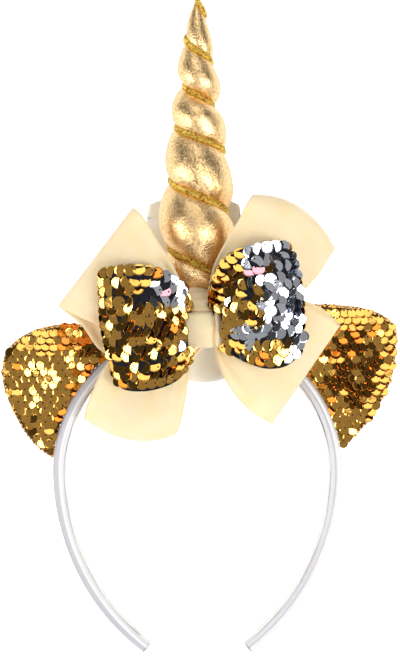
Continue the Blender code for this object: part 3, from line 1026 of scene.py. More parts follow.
@dataclass
class Ear:
    """A padded ear with sequins on its front, piped round its rim, on a felt backing."""

    side: str
    outer: tuple[tuple[float, float], ...]
    base_from: float
    base_to: float
    patches: tuple[Patch, ...]
    seed: int
    glints: tuple[tuple[float, float, Glint], ...] = ()
    pitch: float = 3.5
    row: float = 2.85
    disc: float = 2.15
    piping: float = 1.4
    piping_pitch: float = 2.1
    loose: float = 0.065
    flatten: float = 3.6
    rim_clear: float = 1.5
    edge_points: int = 96
    shrink: float = 0.985
    dome: tuple = ((0.0, 4.3), (0.5, 4.2), (0.78, 3.8), (0.9, 2.9), (1.0, 0.5))

    def outline(self, count: int) -> Grid:
        """The ear's smooth free edge, then the edge that lies along the band."""
        free = smooth_line(np.array(self.outer), count * 2 // 3)
        turns = np.radians(np.linspace(self.base_to, self.base_from, count // 3 + 2))
        arc = np.stack([np.cos(turns), np.sin(turns)], axis=1) * (BAND_RADIUS + 0.35)
        return np.concatenate([free, (arc - (0.0, BAND_RADIUS))])

    def share_out(self, edge: Grid, middle: Grid, place: Grid) -> float:
        """How far a place is out from the middle, as a share of the way to the edge."""
        away = place - middle
        rays = edge - middle
        angles = np.arctan2(rays[:, 1], rays[:, 0])
        near = np.abs(np.angle(np.exp(1j * (angles - math.atan2(away[1], away[0])))))
        closest = np.argsort(near)[:2]
        reach = np.linalg.norm(rays[closest], axis=1).mean()
        return float(np.linalg.norm(away) / reach)

    def build(self, shelf: Shelf) -> None:
        """Makes the pad, its backing, its field of sequins and its piping."""
        edge = self.outline(self.edge_points)
        middle = edge.mean(axis=0)
        shares = (1.0, 1.0, 0.985, 0.95, 0.88, 0.76, 0.6, 0.4, 0.2, 0.02)
        rings = []
        for number, share in enumerate(shares):
            high = 0.15 if number == 0 else read_table(self.dome, share)
            ring = middle + (edge - middle) * share * self.shrink
            lift = [high + 0.12 * ripple((x, y, 0.0), 5.0, self.seed) * (share < 0.9)
                    for x, y in ring]
            rings.append(np.column_stack([ring, lift]))
        pad = new_piece(f"ear_pad_cloth_{self.side}", np.array(rings),
                        grid_faces(len(rings), len(edge), closed_columns=True)
                        + [tuple(range(len(edge)))]
                        + [tuple((len(rings) - 1) * len(edge) + at for at in range(len(edge)))],
                        [shelf.ear_cloth])
        turn_outwards(pad)
        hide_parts(f"ear_pad_{self.side}")
        self.build_backing(shelf, edge, middle)
        self.build_sequins(shelf, edge, middle)

    def build_backing(self, shelf: Shelf, edge: Grid, middle: Grid) -> None:
        """Makes the felt that closes the ear's back, with a rounded edge."""
        rings = []
        for share, high in ((0.985, -0.2), (1.0, -0.35), (1.006, -0.75), (1.0, -1.2),
                            (0.985, -1.35)):
            ring = middle + (edge - middle) * share
            rings.append(np.column_stack([ring, np.full(len(edge), high)]))
        count = len(edge)
        felt = new_piece(f"ear_felt_{self.side}", np.array(rings),
                         grid_faces(5, count, closed_columns=True)
                         + [tuple(range(count)), tuple(4 * count + at for at in range(count))],
                         [shelf.felt])
        turn_outwards(felt)
        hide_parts(f"ear_backing_{self.side}")

    def build_sequins(self, shelf: Shelf, edge: Grid, middle: Grid) -> None:
        """Sews staggered rows of sequins over the pad, and stands small ones round its rim."""
        pace = random.Random(self.seed)
        sewn = SequinField(f"ear_sequins_{self.side}", self.disc, Tone.GOLD, self.patches,
                           self.glints, self.loose)
        free = edge[:self.edge_points * 2 // 3]
        low, high = edge.min(axis=0), edge.max(axis=0)
        rows = int((high[1] - low[1]) / self.row) + 1
        for row in range(rows):
            y = high[1] - 1.2 - row * self.row
            x = low[0] + (row % 2) * self.pitch / 2
            while x < high[0]:
                place = np.array([x + pace.uniform(-0.3, 0.3), y + pace.uniform(-0.3, 0.3)])
                share = self.share_out(edge, middle, place)
                x += self.pitch
                if share > 1.0 or np.linalg.norm(free - place, axis=1).min() < self.rim_clear:
                    continue
                rise = read_table(self.dome, share)
                slope = (read_table(self.dome, min(share + 0.04, 1.0)) - rise) / 0.04
                away = place - middle
                reach = np.linalg.norm(away) / max(share, 0.05)
                tilt = -slope * away / max(np.linalg.norm(away), 0.1) / reach
                normal = np.array([*tilt, self.flatten])
                sewn.sew(np.array([*place, rise]), normal / np.linalg.norm(normal), pace)
        looks = [shelf.ear_disc, shelf.thread]
        sewn.build(looks, "ear_sequins")
        piping = SequinField(f"ear_piping_{self.side}", self.piping, Tone.GOLD, loose=0.15)
        run = measure_run(edge)
        for at in np.arange(0.5, run[-1], self.piping_pitch):
            place = np.array([np.interp(at, run, edge[:, axis]) for axis in range(2)])
            away = place - middle
            away /= np.linalg.norm(away)
            normal = np.array([away[0], away[1], 0.35 + pace.uniform(-0.1, 0.2)])
            piping.sew(np.array([*(place - away * 1.1), 0.9]), normal / np.linalg.norm(normal),
                       pace)
        piping.build(looks, "ear_sequins")


@dataclass
class Station:
    """A line across a ribbon: its two selvedges, and how far its middle stands off the line."""

    upper: Seen
    lower: Seen
    belly: Seen = (0.0, 0.0, 0.0)


@dataclass
class Loop:
    """One loop of a bow: out from the knot along its front, round its end, and back behind."""

    name: str
    stations: tuple[Station, ...]
    node: str
    wide_mm: float = 44.0
    wall_mm: float = 0.4
    pleats: float = 5.0
    pleat_deep: float = 1.7
    pleat_reach: float = 0.22
    pleat_front: float = 0.5
    rows: int = 64
    columns: int = 33
    seed: float = 1.0

    def grid(self) -> Grid:
        """Works out the loop's surface."""
        upper = smooth_line(np.array([sight(one.upper) for one in self.stations]), self.rows)
        lower = smooth_line(np.array([sight(one.lower) for one in self.stations]), self.rows)
        belly = smooth_line(np.array([[one.belly[0] * PHOTO_SCALE, -one.belly[1] * PHOTO_SCALE,
                                       one.belly[2]] for one in self.stations]), self.rows)
        grid = np.zeros((self.rows, self.columns, 3))
        for row in range(self.rows):
            place = row / (self.rows - 1)
            near = math.exp(-(place / self.pleat_reach) ** 2)
            near += math.exp(-((1 - place) / self.pleat_reach) ** 2)
            front = self.pleat_front * math.exp(-((place - 0.22) / 0.16) ** 2)
            for column in range(self.columns):
                share = column / (self.columns - 1)
                bulge = 4 * share * (1 - share)
                point = (upper[row] * (1 - share) + lower[row] * share + belly[row] * bulge)
                wave = math.sin(2 * math.pi * self.pleats * share + self.seed)
                slow = math.sin(2 * math.pi * (share * 1.6 + 0.13 * self.seed))
                flat = 1 - 0.75 * math.exp(-(min(place, 1 - place) / 0.05) ** 2)
                point[2] += self.pleat_deep * near * wave * flat + front * slow
                point[2] += 0.35 * bulge * ripple(point, 13.0, self.seed)
                grid[row, column] = point
        return grid

    def build(self, look: bpy.types.Material, slot: str) -> tuple[Cloth, bpy.types.Object]:
        """Makes the loop's cloth."""
        cloth = Cloth(self.name, self.grid(), self.wide_mm, self.wall_mm)
        piece = cloth.build(look, slot)
        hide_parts(self.node)
        return cloth, piece


@dataclass
class RibbonBows:
    """Two crossed bows of wide grosgrain ribbon, each of two loops."""

    lower_left: tuple[Station, ...] = (
        Station((189, 336, 12), (207, 344, 12)), Station((150, 342, 13), (193, 358, 12.5)),
        Station((121, 350, 14), (189, 378, 12.5), (0, 0, 2)),
        Station((104, 368, 15.5), (185, 402, 13), (0, 3, 3)),
        Station((92, 392, 16.5), (181, 422, 13), (0, 8, 3)),
        Station((85.5, 410, 16), (177, 432, 12.5), (0, 12, 2)),
        Station((84.5, 418, 13.5), (174, 435, 10.5), (0, 13, 0)),
        Station((88, 414, 10.5), (172, 430, 9), (0, 11, -0.5)),
        Station((100, 385, 9.2), (176, 405, 8.6), (0, 4, 0)),
        Station((130, 352, 8.5), (184, 372, 8.4)), Station((189, 334, 8.2), (206, 342, 8.2)))
    upper_right: tuple[Station, ...] = (
        Station((207, 310, 12.5), (212, 335, 12.5)), Station((208, 292, 15), (240, 325, 12.5)),
        Station((214, 265, 18.5), (275, 310, 12.5), (0, 0, 2)),
        Station((226, 241, 22), (300, 293, 12), (0, -1, 4)),
        Station((238, 221, 24.5), (318, 275, 12), (3, -6, 4)),
        Station((247, 203, 25), (330, 256, 11.5), (5, -12, 3)),
        Station((253, 195, 22.5), (334.5, 249, 10), (6, -14, 0)),
        Station((254, 200, 19.5), (332, 250, 8.8), (5, -12, -2)),
        Station((245, 222, 14.5), (315, 272, 8.2), (2, -4, -2)),
        Station((228, 262, 12.5), (270, 305, 8.2)), Station((207, 312, 8.2), (212, 335, 8.2)))
    upper_left: tuple[Station, ...] = (
        Station((190, 318, 15.5), (190, 342, 14.5)), Station((184, 291, 17), (163, 340, 16)),
        Station((173, 265, 19), (125, 333, 18), (0, 0, 1)),
        Station((158, 241, 20.5), (98, 325, 18.5), (0, 0, 1.5)),
        Station((144, 218, 21), (73, 314, 17.5), (0, 0, 1.5)),
        Station((135, 209, 19.8), (60, 306.8, 15), (0, 0, 0.8)),
        Station((131.5, 209.5, 16.5), (58.3, 306, 12.8)),
        Station((134, 214, 13.2), (61, 308.5, 10.8), (0, 0, -0.8)),
        Station((145, 230, 11.6), (82, 326, 10), (0, 0, -1)),
        Station((160, 258, 11.2), (107, 354, 9.6)), Station((180, 296, 11.2), (160, 350, 10.6)),
        Station((190, 318, 11.2), (190, 342, 11)))
    lower_right: tuple[Station, ...] = (
        Station((216, 318, 15.5), (214, 344, 14.5)), Station((240, 300, 17), (219, 366, 16)),
        Station((268, 298, 19), (231, 389, 18), (0, 0, 1)),
        Station((296, 300, 20), (247, 408, 19), (0, 0, 1.5)),
        Station((322, 313, 19.5), (262, 419, 18), (0, 0, 1.5)),
        Station((337, 324, 16.5), (270.5, 423.3, 15), (0, 0, 0.8)),
        Station((339.5, 325.5, 13.8), (272, 424, 12.8)),
        Station((336.5, 321, 11.2), (269, 420, 10.8), (0, 0, -0.8)),
        Station((316, 305, 10.4), (250, 402, 10.4), (0, 0, -1)),
        Station((280, 300, 11), (228, 372, 11)), Station((216, 320, 11.2), (214, 342, 11.2)))

    def build(self, shelf: Shelf) -> None:
        """Makes the four loops."""
        for name, stations, node, seed in (
                ("ribbon_lower_left", self.lower_left, "ribbon_bow_back", 0.4),
                ("ribbon_upper_right", self.upper_right, "ribbon_bow_back", 2.6),
                ("ribbon_upper_left", self.upper_left, "ribbon_bow_front", 1.2),
                ("ribbon_lower_right", self.lower_right, "ribbon_bow_front", 4.0)):
            loop = Loop(name, stations, node, seed=seed)
            cloth, piece = loop.build(shelf.ribbon, "ribbon")
            cloth.declare(piece, Held.GATHERED, ["knot_wrap"])
            LOG.info("%s: %.0f mm of ribbon", name, cloth.long_mm)


@dataclass
class SequinBow:
    """The stiff bow of sequin fabric on top: navy cloth under two-sided sequins."""

    left: tuple[Station, ...] = (
        Station((192, 313, 16), (192, 341, 16)), Station((185, 299, 19.5), (189, 351, 19)),
        Station((178, 283, 25), (187, 364, 24)), Station((165, 273, 29), (181, 377, 28)),
        Station((148, 267, 31), (167, 386, 30)),
        Station((130, 266, 32), (148, 391, 31), (-1, 0, 0)),
        Station((113, 268, 31), (131, 391, 30), (-4, 0, 0)),
        Station((104, 270, 27), (122, 388, 26.5), (-7, 0, 0)),
        Station((107, 272, 23.5), (123, 385, 23), (-6, 0, 0)),
        Station((130, 272, 21.5), (140, 382, 21.5), (-3, 0, 0)),
        Station((165, 290, 20), (175, 360, 20)), Station((191, 314, 16.5), (191, 340, 16.5)))
    right: tuple[Station, ...] = (
        Station((213, 313, 15.5), (214, 342, 15.5)),
        Station((213, 300, 19.5), (222, 347, 17.5), (3, 0, -1.5)),
        Station((215, 284, 26), (229, 353, 24), (2, 0, 0)),
        Station((223, 263, 31), (243, 361, 29)), Station((237, 251, 34), (262, 368, 32)),
        Station((254, 246, 35.5), (277, 368.5, 34), (2, 0, 0)),
        Station((272, 243, 34.5), (288, 365, 33), (6, 0, 0)),
        Station((284, 243, 31), (296, 358, 30), (9, 0, 0)),
        Station((282, 246, 27), (291, 358, 26.5), (7, 0, 0)),
        Station((262, 252, 25.5), (270, 358, 25), (4, 0, 0)),
        Station((232, 285, 22), (238, 345, 21.5)), Station((212, 314, 16.5), (214, 340, 16.5)))
    left_patches: tuple[Patch, ...] = (
        Patch((144, 279), (17, 14), Mirror.CARD),
        # Painted reflection: gold discs given the orange-gold tone for the warm yellow around them.
        Patch((163, 271), (9, 5), Mirror.CARD, Tone.AMBER_PAINTED_REFLECTION),
        Patch((168, 291), (17, 17), tone=Tone.SILVER),
        # Sequins left off here: painted shade of the bow's dark folds.
        Patch((150, 297), (5, 12), bared_for_painted_shade=True), Patch((164, 283), (9, 4), bared_for_painted_shade=True),
        Patch((138, 303), (5, 9), bared_for_painted_shade=True, share=0.6),
        Patch((135, 345), (40, 56), Mirror.DARK_LEFT, share=0.55),
        Patch((160, 322), (22, 12), Mirror.DARK_LEFT, share=0.4),
        Patch((182, 366), (7, 14), Mirror.CARD, share=0.7))
    left_glints: tuple[tuple[float, float, Glint], ...] = (
        (115, 284, Glint.WHITE_GOLD), (130, 311, Glint.WHITE_GOLD),
        (113.5, 324, Glint.WHITE_GOLD), (152, 335, Glint.YELLOW), (131, 346, Glint.WHITE_GOLD),
        (112, 359, Glint.WHITE_GOLD), (119.5, 360, Glint.YELLOW), (127, 359, Glint.WHITE_GOLD),
        (153, 359, Glint.WHITE_GOLD), (150, 366, Glint.YELLOW), (139, 371, Glint.WHITE_GOLD),
        # The orange-gold glints are painted reflection of the warm yellow around them.
        (144, 377, Glint.YELLOW), (129, 380, Glint.ORANGE_PAINTED_REFLECTION), (182, 348, Glint.WHITE),
        (172, 279, Glint.WHITE), (177, 288, Glint.WHITE), (175, 297, Glint.WHITE),
        (182, 303, Glint.WHITE), (159, 290, Glint.GREY), (167, 289, Glint.PINK),
        (168, 300, Glint.GREY), (155, 301, Glint.DARK), (160, 311, Glint.WHITE_GOLD),
        (170, 330, Glint.ORANGE_PAINTED_REFLECTION), (177, 330, Glint.BROWN), (123, 296, Glint.BROWN))
    right_patches: tuple[Patch, ...] = (
        Patch((223, 280), (13, 28), Mirror.CARD),
        Patch((237, 261), (9, 10), Mirror.CARD),
        Patch((275, 305), (42, 72), Mirror.ABOVE, share=0.4),
        Patch((290, 292), (29, 66), tone=Tone.SILVER),
        Patch((265, 262), (22, 22), tone=Tone.SILVER),
        Patch((285, 285), (26, 50), Mirror.ROOM, share=0.3),
        Patch((280, 290), (30, 58), Mirror.DARK_LEFT, share=0.36),
        Patch((249, 332), (16, 12), tone=Tone.SILVER),
        Patch((274, 348), (13, 12), tone=Tone.GOLD),
        Patch((254, 252), (11, 6), Mirror.KEY, Tone.SILVER),
        # Sequins left off along the middle fold: painted shade.
        Patch((249, 303), (4, 22), bared_for_painted_shade=True), Patch((235, 282), (9, 14), Mirror.DARK_LEFT),
        Patch((250, 310), (12, 26), Mirror.DARK_LEFT, share=0.5),
        Patch((235, 345), (13, 5), Mirror.CARD), Patch((272, 366), (20, 3), Mirror.CARD))
    right_glints: tuple[tuple[float, float, Glint], ...] = (
        (282, 248.5, Glint.GREY), (285, 257, Glint.GREY), (274, 259, Glint.DARK),
        (257, 262, Glint.GREY), (248, 269, Glint.PINK), (256, 271, Glint.PINK),
        (265, 268, Glint.BROWN), (254, 278, Glint.DARK), (263, 283, Glint.WHITE),
        (273.5, 281, Glint.WHITE), (285, 280, Glint.GREY), (280, 269, Glint.GREY),
        (295, 291, Glint.WHITE), (285, 292, Glint.WHITE), (270, 303, Glint.WHITE),
        (270, 315, Glint.WHITE), (302, 316, Glint.WHITE), (300, 330, Glint.WHITE),
        (291, 353, Glint.WHITE), (252, 339, Glint.GREY), (259, 334, Glint.GREY),
        (230, 303, Glint.WHITE), (237, 308, Glint.WHITE_GOLD), (240, 295, Glint.YELLOW),
        # The orange-gold glints are painted reflection of the warm yellow around them.
        (256, 303, Glint.YELLOW), (248, 319, Glint.YELLOW), (264, 357, Glint.ORANGE_PAINTED_REFLECTION),
        (258, 363, Glint.ORANGE_PAINTED_REFLECTION), (246, 356, Glint.DARK), (254, 348, Glint.GREY),
        (282, 364, Glint.WHITE_GOLD), (231, 335, Glint.GREY))
    radius: float = 2.7
    spacing: float = 3.9
    lane_mm: float = 3.4
    crowding: float = 0.66
    flatten: float = 4.5
    under_knot: tuple[float, float, float, float] = (-6.2, 11.7, -10.5, 7.5)

    def build(self, shelf: Shelf) -> None:
        """Makes both halves and sews the sequins on the outside of each loop."""
        for side, stations, patches, glints, stitch, seed in (
                ("left", self.left, self.left_patches, self.left_glints, (1.0, 0.15), 11),
                ("right", self.right, self.right_patches, self.right_glints, (-0.8, 0.5), 29)):
            loop = Loop(f"sequin_cloth_{side}", stations, "sequin_bow", 54.0, 0.5, pleats=3.0,
                        pleat_deep=1.6, pleat_reach=0.12, pleat_front=1.6, seed=seed * 0.1)
            cloth, piece = loop.build(shelf.bow_cloth, "bow_sequins")
            sewn = SequinField(f"bow_sequins_{side}", self.radius, Tone.GOLD, patches, glints,
                               0.07, stitch, 0.6)
            self.sew_rows(cloth, sewn, seed)
            discs = sewn.build([shelf.bow_disc, shelf.thread], "bow_sequins")
            cloth.declare(piece, Held.GATHERED, ["knot_wrap"], (discs,))

    def sew_rows(self, cloth: Cloth, sewn: SequinField, seed: int) -> None:
        """Sews rows of sequins along the cloth's outside, clear of one another."""
        pace = random.Random(seed)
        grid = cloth.grid
        rows, columns = grid.shape[:2]
        lanes = int(cloth.wide_mm / self.lane_mm)
        for lane in range(lanes + 1):
            column = min(max(round(lane / lanes * (columns - 1)), 1), columns - 2)
            left, right = max(column - 1, 0), min(column + 1, columns - 1)
            front = np.cross(grid[rows // 4 + 1, column] - grid[rows // 4 - 1, column],
                             grid[rows // 4, right] - grid[rows // 4, left])
            line = grid[:, column]
            run = measure_run(line)
            at = 1.0 + (lane % 2) * self.spacing / 2
            while at < run[-1] - 1.0:
                row = int(np.clip(np.searchsorted(run, at), 1, rows - 2))
                place = line[row - 1] + (line[row] - line[row - 1]) * (
                    (at - run[row - 1]) / max(run[row] - run[row - 1], 0.01))
                at += self.spacing
                normal = np.cross(grid[row + 1, column] - grid[row - 1, column],
                                  grid[row, right] - grid[row, left])
                normal *= math.copysign(1.0, front[2]) / np.linalg.norm(normal)
                normal[2] += self.flatten * normal[2] + 0.5 * float(normal[2] > -0.3)
                normal /= np.linalg.norm(normal)
                near = [other for other in sewn.places
                        if np.linalg.norm(other - place) < self.spacing * self.crowding]
                left_x, right_x, low_y, high_y = self.under_knot
                covered = left_x < place[0] < right_x and low_y < place[1] < high_y
                if not near and not covered:
                    sewn.sew(place, normal, pace)


@dataclass
class Knot:
    """The ribbon wrapped round the bows' middle, and the gathered piece above it."""

    left: float = -5.2
    right: float = 11.2
    low: float = 7.2
    high: float = 21.2
    half: float = 7.1
    middle_y: float = -1.5
    wrap_wide: float = 17.0
    gathers_wide: float = 14.0
    tuck: tuple[float, float, float] = (-2.6, 0.76, 0.042)
    lip: tuple[float, float, float] = (0.6, 0.86, 0.05)

    def build(self, shelf: Shelf) -> None:
        """Makes the wrap and the gathers."""
        half = self.half
        around = [(-half + 1.0, self.low), (half - 1.0, self.low), (half, self.low + 1.2),
                  (half + 0.2, self.high - 5.0), (half - 0.2, self.high - 1.8),
                  (half - 1.8, self.high - 0.2), (0.0, self.high + 0.7),
                  (-half + 1.8, self.high - 0.2), (-half + 0.2, self.high - 1.8),
                  (-half - 0.2, self.high - 5.0), (-half, self.low + 1.2)]
        loop = np.array(around[-1:] + around + around[:2])
        ring = smooth_line(loop, (len(loop) - 1) * 6 + 1)[6:-12]
        rows, columns = len(ring), 41
        grid = np.zeros((rows, columns, 3))
        for row, (y, z) in enumerate(ring):
            out = np.array([y, z - (self.low + self.high) / 2])
            out /= np.linalg.norm(out)
            top = max(0.0, out[1])
            for column in range(columns):
                share = column / (columns - 1)
                barrel = 0.9 * (1 - (2 * share - 1) ** 2) - 0.4
                deep, at, wide = self.tuck
                tuck = deep * math.exp(-((share - at - 0.02 * math.sin(y * 0.5)) / wide) ** 2)
                high, at, wide = self.lip
                lip = high * math.exp(-((share - at) / wide) ** 2)
                lift = barrel + (tuck + lip) * top
                lift += 0.12 * ripple((share * 16, y, z), 3.0, 5.0)
                pinch = 1.0 - 0.05 * abs(y) / half
                x = (self.left + self.right) / 2
                x += (share - 0.5) * (self.right - self.left) * pinch
                grid[row, column] = (x, self.middle_y + y + out[0] * lift, z + out[1] * lift)
        cloth = Cloth("knot_wrap", grid, self.wrap_wide, 0.45, closed=True)
        piece = cloth.build(shelf.ribbon, "ribbon")
        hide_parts("center_wrap")
        cloth.declare(piece, Held.FOLDED, ["ribbon_upper_left", "ribbon_lower_right"])
        self.build_gathers(shelf)

    def build_gathers(self, shelf: Shelf) -> None:
        """Makes the gathered ribbon that comes down over the horn's foot to the knot."""
        stations = np.array([
            [sight((188.5, 319, 14.5)), sight((216, 319, 14.5))],
            [sight((187.5, 312, 15.5)), sight((216.5, 312, 15.5))],
            [sight((187, 304, 14.8)), sight((216, 305, 14.8))],
            [sight((187.5, 296, 13)), sight((215, 298, 13))],
            [sight((189, 289, 11)), sight((212, 293, 11))],
            [sight((190, 287, 8.8)), sight((211, 291, 8.8))]])
        rows, columns = 40, 21
        edges = smooth_line(stations, rows)
        grid = np.zeros((rows, columns, 3))
        for row in range(rows):
            for column in range(columns):
                share = column / (columns - 1)
                point = edges[row, 0] * (1 - share) + edges[row, 1] * share
                bulge = 4 * share * (1 - share)
                point = point + np.array([0.0, 0.5 * bulge, 1.3 * bulge])
                crease = math.sin(row * 0.75 + 1.4 * share + 0.8 * math.sin(5 * share))
                point[2] += 0.45 * crease * bulge ** 0.5
                grid[row, column] = point
        cloth = Cloth("knot_gathers", grid, self.gathers_wide, 0.4)
        piece = cloth.build(shelf.ribbon, "ribbon")
        cloth.declare(piece, Held.GATHERED, ["horn_foil", "knot_wrap"])


@dataclass
class RearBow:
    """The ribbon bow behind the band, whose upper loop lies flat under the horn."""

    middle_x: float = -1.5
    lift: float = 1.6
    clear: float = 0.8
    wide_mm: float = 43.0
    rows: int = 120
    columns: int = 25

    def floor_z(self, y: float) -> float:
        """The floor's height in the headband's frame at a Y."""
        return -6.0 - (y + 141.4) * math.tan(REST_TILT)

    def build(self, shelf: Shelf) -> None:
        """Makes the closed ribbon from its two loops."""
        path = ((-3.0, -8.4, 12.0), (6.0, -12.2, 14.5), (14.0, None, 17.5), (24.0, None, 20.0),
                (40.0, None, 21.5), (55.5, None, 20.5))
        rows: list[tuple[Grid, float]] = []
        for y, z, wide in path:
            low = self.floor_z(y) + self.clear if z is None else z
            rows.append((np.array([self.middle_x, y, low]), wide))
        rows.append((np.array([self.middle_x, 57.8, self.floor_z(57.8) + 1.6]), 19.5))
        for y, z, wide in reversed(path):
            low = (self.floor_z(y) + self.clear if z is None else z) + self.lift
            rows.append((np.array([self.middle_x, y, low]), wide))
        lower = ((-10.0, 0.2, 14.0), (-17.0, 0.9, 15.0), (-22.5, 1.6, 15.5))
        for y, gap, wide in lower:
            rows.append((np.array([self.middle_x + (-3.0 - y) * 0.2, y, -6.8 - 0.4 * gap]), wide))
        rows.append((np.array([2.8, -25.0, -9.4]), 15.5))
        for y, gap, wide in reversed(lower):
            rows.append((np.array([self.middle_x + (-3.0 - y) * 0.2, y, -8.4 - 2.2 * gap]), wide))
        middles = np.array([place for place, _ in rows] + [rows[0][0]])
        widths = np.array([wide for _, wide in rows] + [rows[0][1]])
        count, columns = self.rows, self.columns
        middles, widths = smooth_line(middles, count + 1)[:-1], smooth_line(widths, count + 1)[:-1]
        grid = np.zeros((count, columns, 3))
        for row in range(count):
            y = middles[row, 1]
            gather = math.exp(-((y + 3.0) / 9.0) ** 2)
            for column in range(columns):
                share = 2 * column / (columns - 1) - 1
                point = middles[row] + np.array([share * widths[row], 0.0, 0.0])
                if y > 50.0:
                    point[1] -= 3.4 * abs(share) ** 3
                elif y < -15.0:
                    point[1] += 5.0 * share ** 2 * (-15.0 - y) / 10.0
                point[2] += 0.35 * gather * math.sin(11 * share)
                grid[row, column] = point
        cloth = Cloth("rear_ribbon", grid, self.wide_mm, 0.4, closed=True)
        piece = cloth.build(shelf.rear, "ribbon")
        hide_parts("rear_ribbon_bow")
        cloth.declare(piece, Held.GATHERED, ["floor", "headband_satin"])


@dataclass
class Studio:
    """The pale floor, the softboxes and sky, and the camera at the photograph's place."""

    half_view_mm: float = 145.64
    floor_side: float = 6.0
    zenith: str = "#A09D98"
    room: str = "#AFADA9"
    horizon: str = "#D2D0CC"
    corner: str = "#45433F"
    paper: str = "#FFFFFF"
    fibre: str = "#FAFAFA"
    fibre_mm: float = 1.11
    floor_glow: float = 0.28
    floor_shown: float = 0.95
    softboxes: tuple[tuple[Mirror, tuple[float, float], float], ...] = (
        (Mirror.KEY, (0.36, 1.1), 11.3), (Mirror.LOW, (0.8, 0.3), 2.5),
        (Mirror.CARD, (1.1, 0.6), 3.3), (Mirror.FILL, (0.4, 1.1), 9.5))

    def lay_floor(self) -> None:
        """Lays the pale paper floor that the headband rests on."""
        deselect_all()
        bpy.ops.mesh.primitive_plane_add(size=self.floor_side, location=(0.0, 0.0, -0.0002))
        floor = bpy.context.object
        floor.name = "floor"
        bpy.ops.object.transform_apply(location=True, rotation=False, scale=False)
        paper = bpy.data.materials.new("white_paper")
        paper.use_nodes = True
        tree = paper.node_tree
        shader = tree.nodes["Principled BSDF"]
        place = add_node(tree, "ShaderNodeTexCoord").outputs["Object"]
        fibre = add_node(tree, "ShaderNodeTexNoise",
                         {"Scale": 1 / (self.fibre_mm * MM), "Detail": 2.0}, {"Vector": place})
        tint = add_node(tree, "ShaderNodeValToRGB",
                        {"stops": ((0.3, self.fibre), (0.7, self.paper))},
                        {"Fac": fibre.outputs["Fac"]})
        tree.links.new(tint.outputs["Color"], shader.inputs["Base Color"])
        shader.inputs["Roughness"].default_value = 0.9
        shader.inputs["Specular IOR Level"].default_value = 0.1
        shader.inputs["Emission Color"].default_value = (1.0, 1.0, 1.0, 1.0)
        seen = add_node(tree, "ShaderNodeLightPath").outputs["Is Camera Ray"]
        glow = add_node(tree, "ShaderNodeMapRange",
                        {3: self.floor_glow, 4: self.floor_shown}, {0: seen})
        tree.links.new(glow.outputs[0], shader.inputs["Emission Strength"])
        floor.data.materials.append(paper)

    def light(self) -> None:
        """Makes the sky, dark overhead and white all round, and the softboxes."""
        world = bpy.data.worlds.new("studio")
        bpy.context.scene.world = world
        world.use_nodes = True
        tree = world.node_tree
        sky = tree.nodes["Background"]
        way = add_node(tree, "ShaderNodeTexCoord").outputs["Generated"]
        parts = add_node(tree, "ShaderNodeSeparateXYZ", links={0: way})
        ramp = add_node(tree, "ShaderNodeValToRGB",
                        {"stops": ((0.0, self.horizon), (0.22, self.room), (0.84, self.room),
                                   (0.94, self.zenith))}, {"Fac": parts.outputs["Z"]})
        colour = ramp.outputs["Color"]
        for dark in (Mirror.DARK_LEFT, Mirror.DARK_RIGHT):
            ahead = Vector(seat(np.array(dark.value)).tolist()).normalized()
            near = add_node(tree, "ShaderNodeVectorMath",
                            {"operation": "DOT_PRODUCT", 1: tuple(ahead)}, {0: way})
            share = add_node(tree, "ShaderNodeMapRange", {1: 0.84, 2: 0.96, 3: 0.0, 4: 1.0},
                             {0: near.outputs["Value"]})
            mix = add_node(tree, "ShaderNodeMix", {"data_type": "RGBA", 7: linear(self.corner)},
                           {0: share.outputs[0], 6: colour})
            colour = mix.outputs[2]
        tree.links.new(colour, sky.inputs["Color"])
        sky.inputs["Strength"].default_value = 1.0
        for place, size, power in self.softboxes:
            lamp = bpy.data.lights.new(f"softbox_{place.name.lower()}", "AREA")
            lamp.shape = "RECTANGLE"
            lamp.size, lamp.size_y = size
            lamp.energy = power
            obj = bpy.data.objects.new(lamp.name, lamp)
            bpy.context.scene.collection.objects.link(obj)
            obj.location = seat(np.array(place.value)).tolist()
            obj.rotation_euler = obj.location.to_track_quat("Z", "Y").to_euler()

    def place_camera(self) -> None:
        """Puts the camera straight over the band's plane, as the photograph was taken."""
        bpy.context.scene.view_settings.view_transform = "Standard"
        lens = bpy.data.cameras.new("camera")
        lens.sensor_width = 36.0
        lens.lens = lens.sensor_width / 2 / (self.half_view_mm / EYE[2])
        lens.clip_start, lens.clip_end = 0.01, 20.0
        camera = bpy.data.objects.new("camera", lens)
        bpy.context.scene.collection.objects.link(camera)
        camera.location = seat(np.array(EYE)).tolist()
        camera.rotation_euler = (REST_TILT, 0.0, 0.0)
        bpy.context.scene.camera = camera


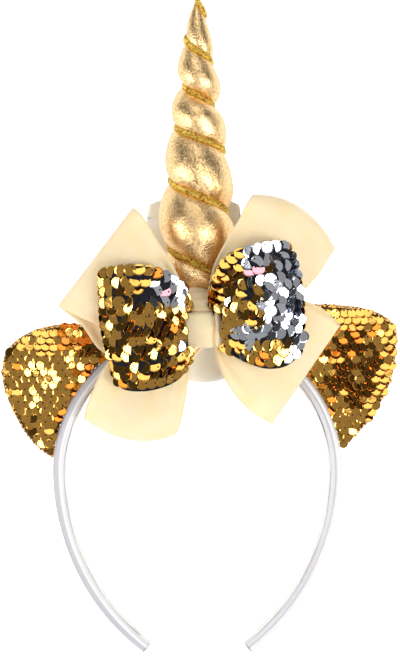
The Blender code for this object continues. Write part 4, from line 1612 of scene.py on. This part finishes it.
LEFT_EAR = Ear(
    "left",
    ((-66.1, -56.6), (-72.2, -51.4), (-77.9, -43.5), (-82.3, -34.7), (-85.4, -25.9),
     (-85.8, -19.3), (-84.9, -12.7), (-81.4, -7.9), (-73.5, -2.6), (-62.6, 0.4), (-50.3, 0.4),
     (-39.3, -3.0)), 175.0, 119.0,
    (Patch((40, 342), (42, 11), Mirror.CARD, Tone.GOLD, 0.9),
     # Painted reflection: the orange-gold patches and glints of this ear colour gold discs for the
     # warm yellow around them.
     Patch((80, 333), (26, 12), Mirror.CARD, Tone.AMBER_PAINTED_REFLECTION, 0.8),
     Patch((34, 367), (10, 7), Mirror.KEY), Patch((51, 379), (9, 9), Mirror.KEY, share=0.8),
     Patch((35, 396), (7, 16), Mirror.KEY, share=0.8),
     Patch((75, 363), (8, 10), Mirror.KEY, share=0.8),
     Patch((92, 350), (13, 6), Mirror.DARK_LEFT),
     Patch((42, 428), (22, 24), Mirror.DARK_LEFT, share=0.25),
     Patch((88, 372), (10, 6), Mirror.CARD, Tone.AMBER_PAINTED_REFLECTION, 0.7),
     Patch((73, 392), (6, 10), Mirror.CARD, Tone.AMBER_PAINTED_REFLECTION, 0.6),
     Patch((62, 418), (5, 14), Mirror.CARD, Tone.AMBER_PAINTED_REFLECTION, 0.6)), 5,
    ((16.5, 391, Glint.YELLOW), (45.5, 430, Glint.YELLOW), (41.5, 444, Glint.WHITE_GOLD),
     (64, 345, Glint.YELLOW), (58, 347, Glint.ORANGE_PAINTED_REFLECTION), (10, 350, Glint.BROWN),
     (18, 362, Glint.ORANGE_PAINTED_REFLECTION)))
RIGHT_EAR = Ear(
    "right",
    ((65.5, -52.2), (72.0, -45.5), (78.1, -38.2), (85.6, -22.4), (87.7, -6.4), (86.7, 0.0),
     (81.3, 4.8), (73.3, 7.7), (65.2, 8.8), (52.0, 9.2), (40.6, 4.8)), 10.0, 61.0,
    (Patch((350, 370), (70, 80), Mirror.ABOVE, share=0.75),
     Patch((354, 368), (30, 38), Mirror.DARK_RIGHT, share=0.9),
     Patch((352, 395), (20, 14), Mirror.DARK_RIGHT, share=0.35),
     Patch((350, 316), (46, 11), Mirror.CARD, share=0.9),
     Patch((390, 350), (8, 32), Mirror.CARD, share=0.85),
     Patch((381, 388), (8, 20), Mirror.CARD, share=0.9),
     Patch((368, 412), (8, 16), Mirror.CARD, share=0.9),
     Patch((322, 382), (8, 8), Mirror.CARD, share=0.6),
     # Painted reflection: the orange-gold patch and glints of this ear colour gold discs for the
     # warm yellow around them.
     Patch((331, 400), (6, 14), Mirror.CARD, Tone.AMBER_PAINTED_REFLECTION, 0.5)), 17,
    ((345, 340, Glint.ORANGE_PAINTED_REFLECTION), (357, 332, Glint.ORANGE_PAINTED_REFLECTION), (363, 342, Glint.ORANGE_PAINTED_REFLECTION),
     (352, 351, Glint.ORANGE_PAINTED_REFLECTION), (335, 349, Glint.ORANGE_PAINTED_REFLECTION), (373, 326, Glint.ORANGE_PAINTED_REFLECTION),
     (376, 334, Glint.ORANGE_PAINTED_REFLECTION), (334, 357, Glint.YELLOW), (341, 361, Glint.YELLOW),
     (341, 393, Glint.YELLOW), (352, 432, Glint.WHITE_GOLD)))


def main() -> None:
    """Builds the headband's pieces in order, then the studio."""
    logging.basicConfig(level=logging.INFO, format="%(message)s")
    studio = Studio()
    studio.place_camera()
    shelf = Shelf()
    for part in (Headband(), Horn(), LEFT_EAR, RIGHT_EAR, RibbonBows(), SequinBow(), Knot(),
                 RearBow()):
        part.build(shelf)
        LOG.info("built %s", type(part).__name__)
    studio.lay_floor()
    studio.light()


if __name__ == "__main__":
    main()
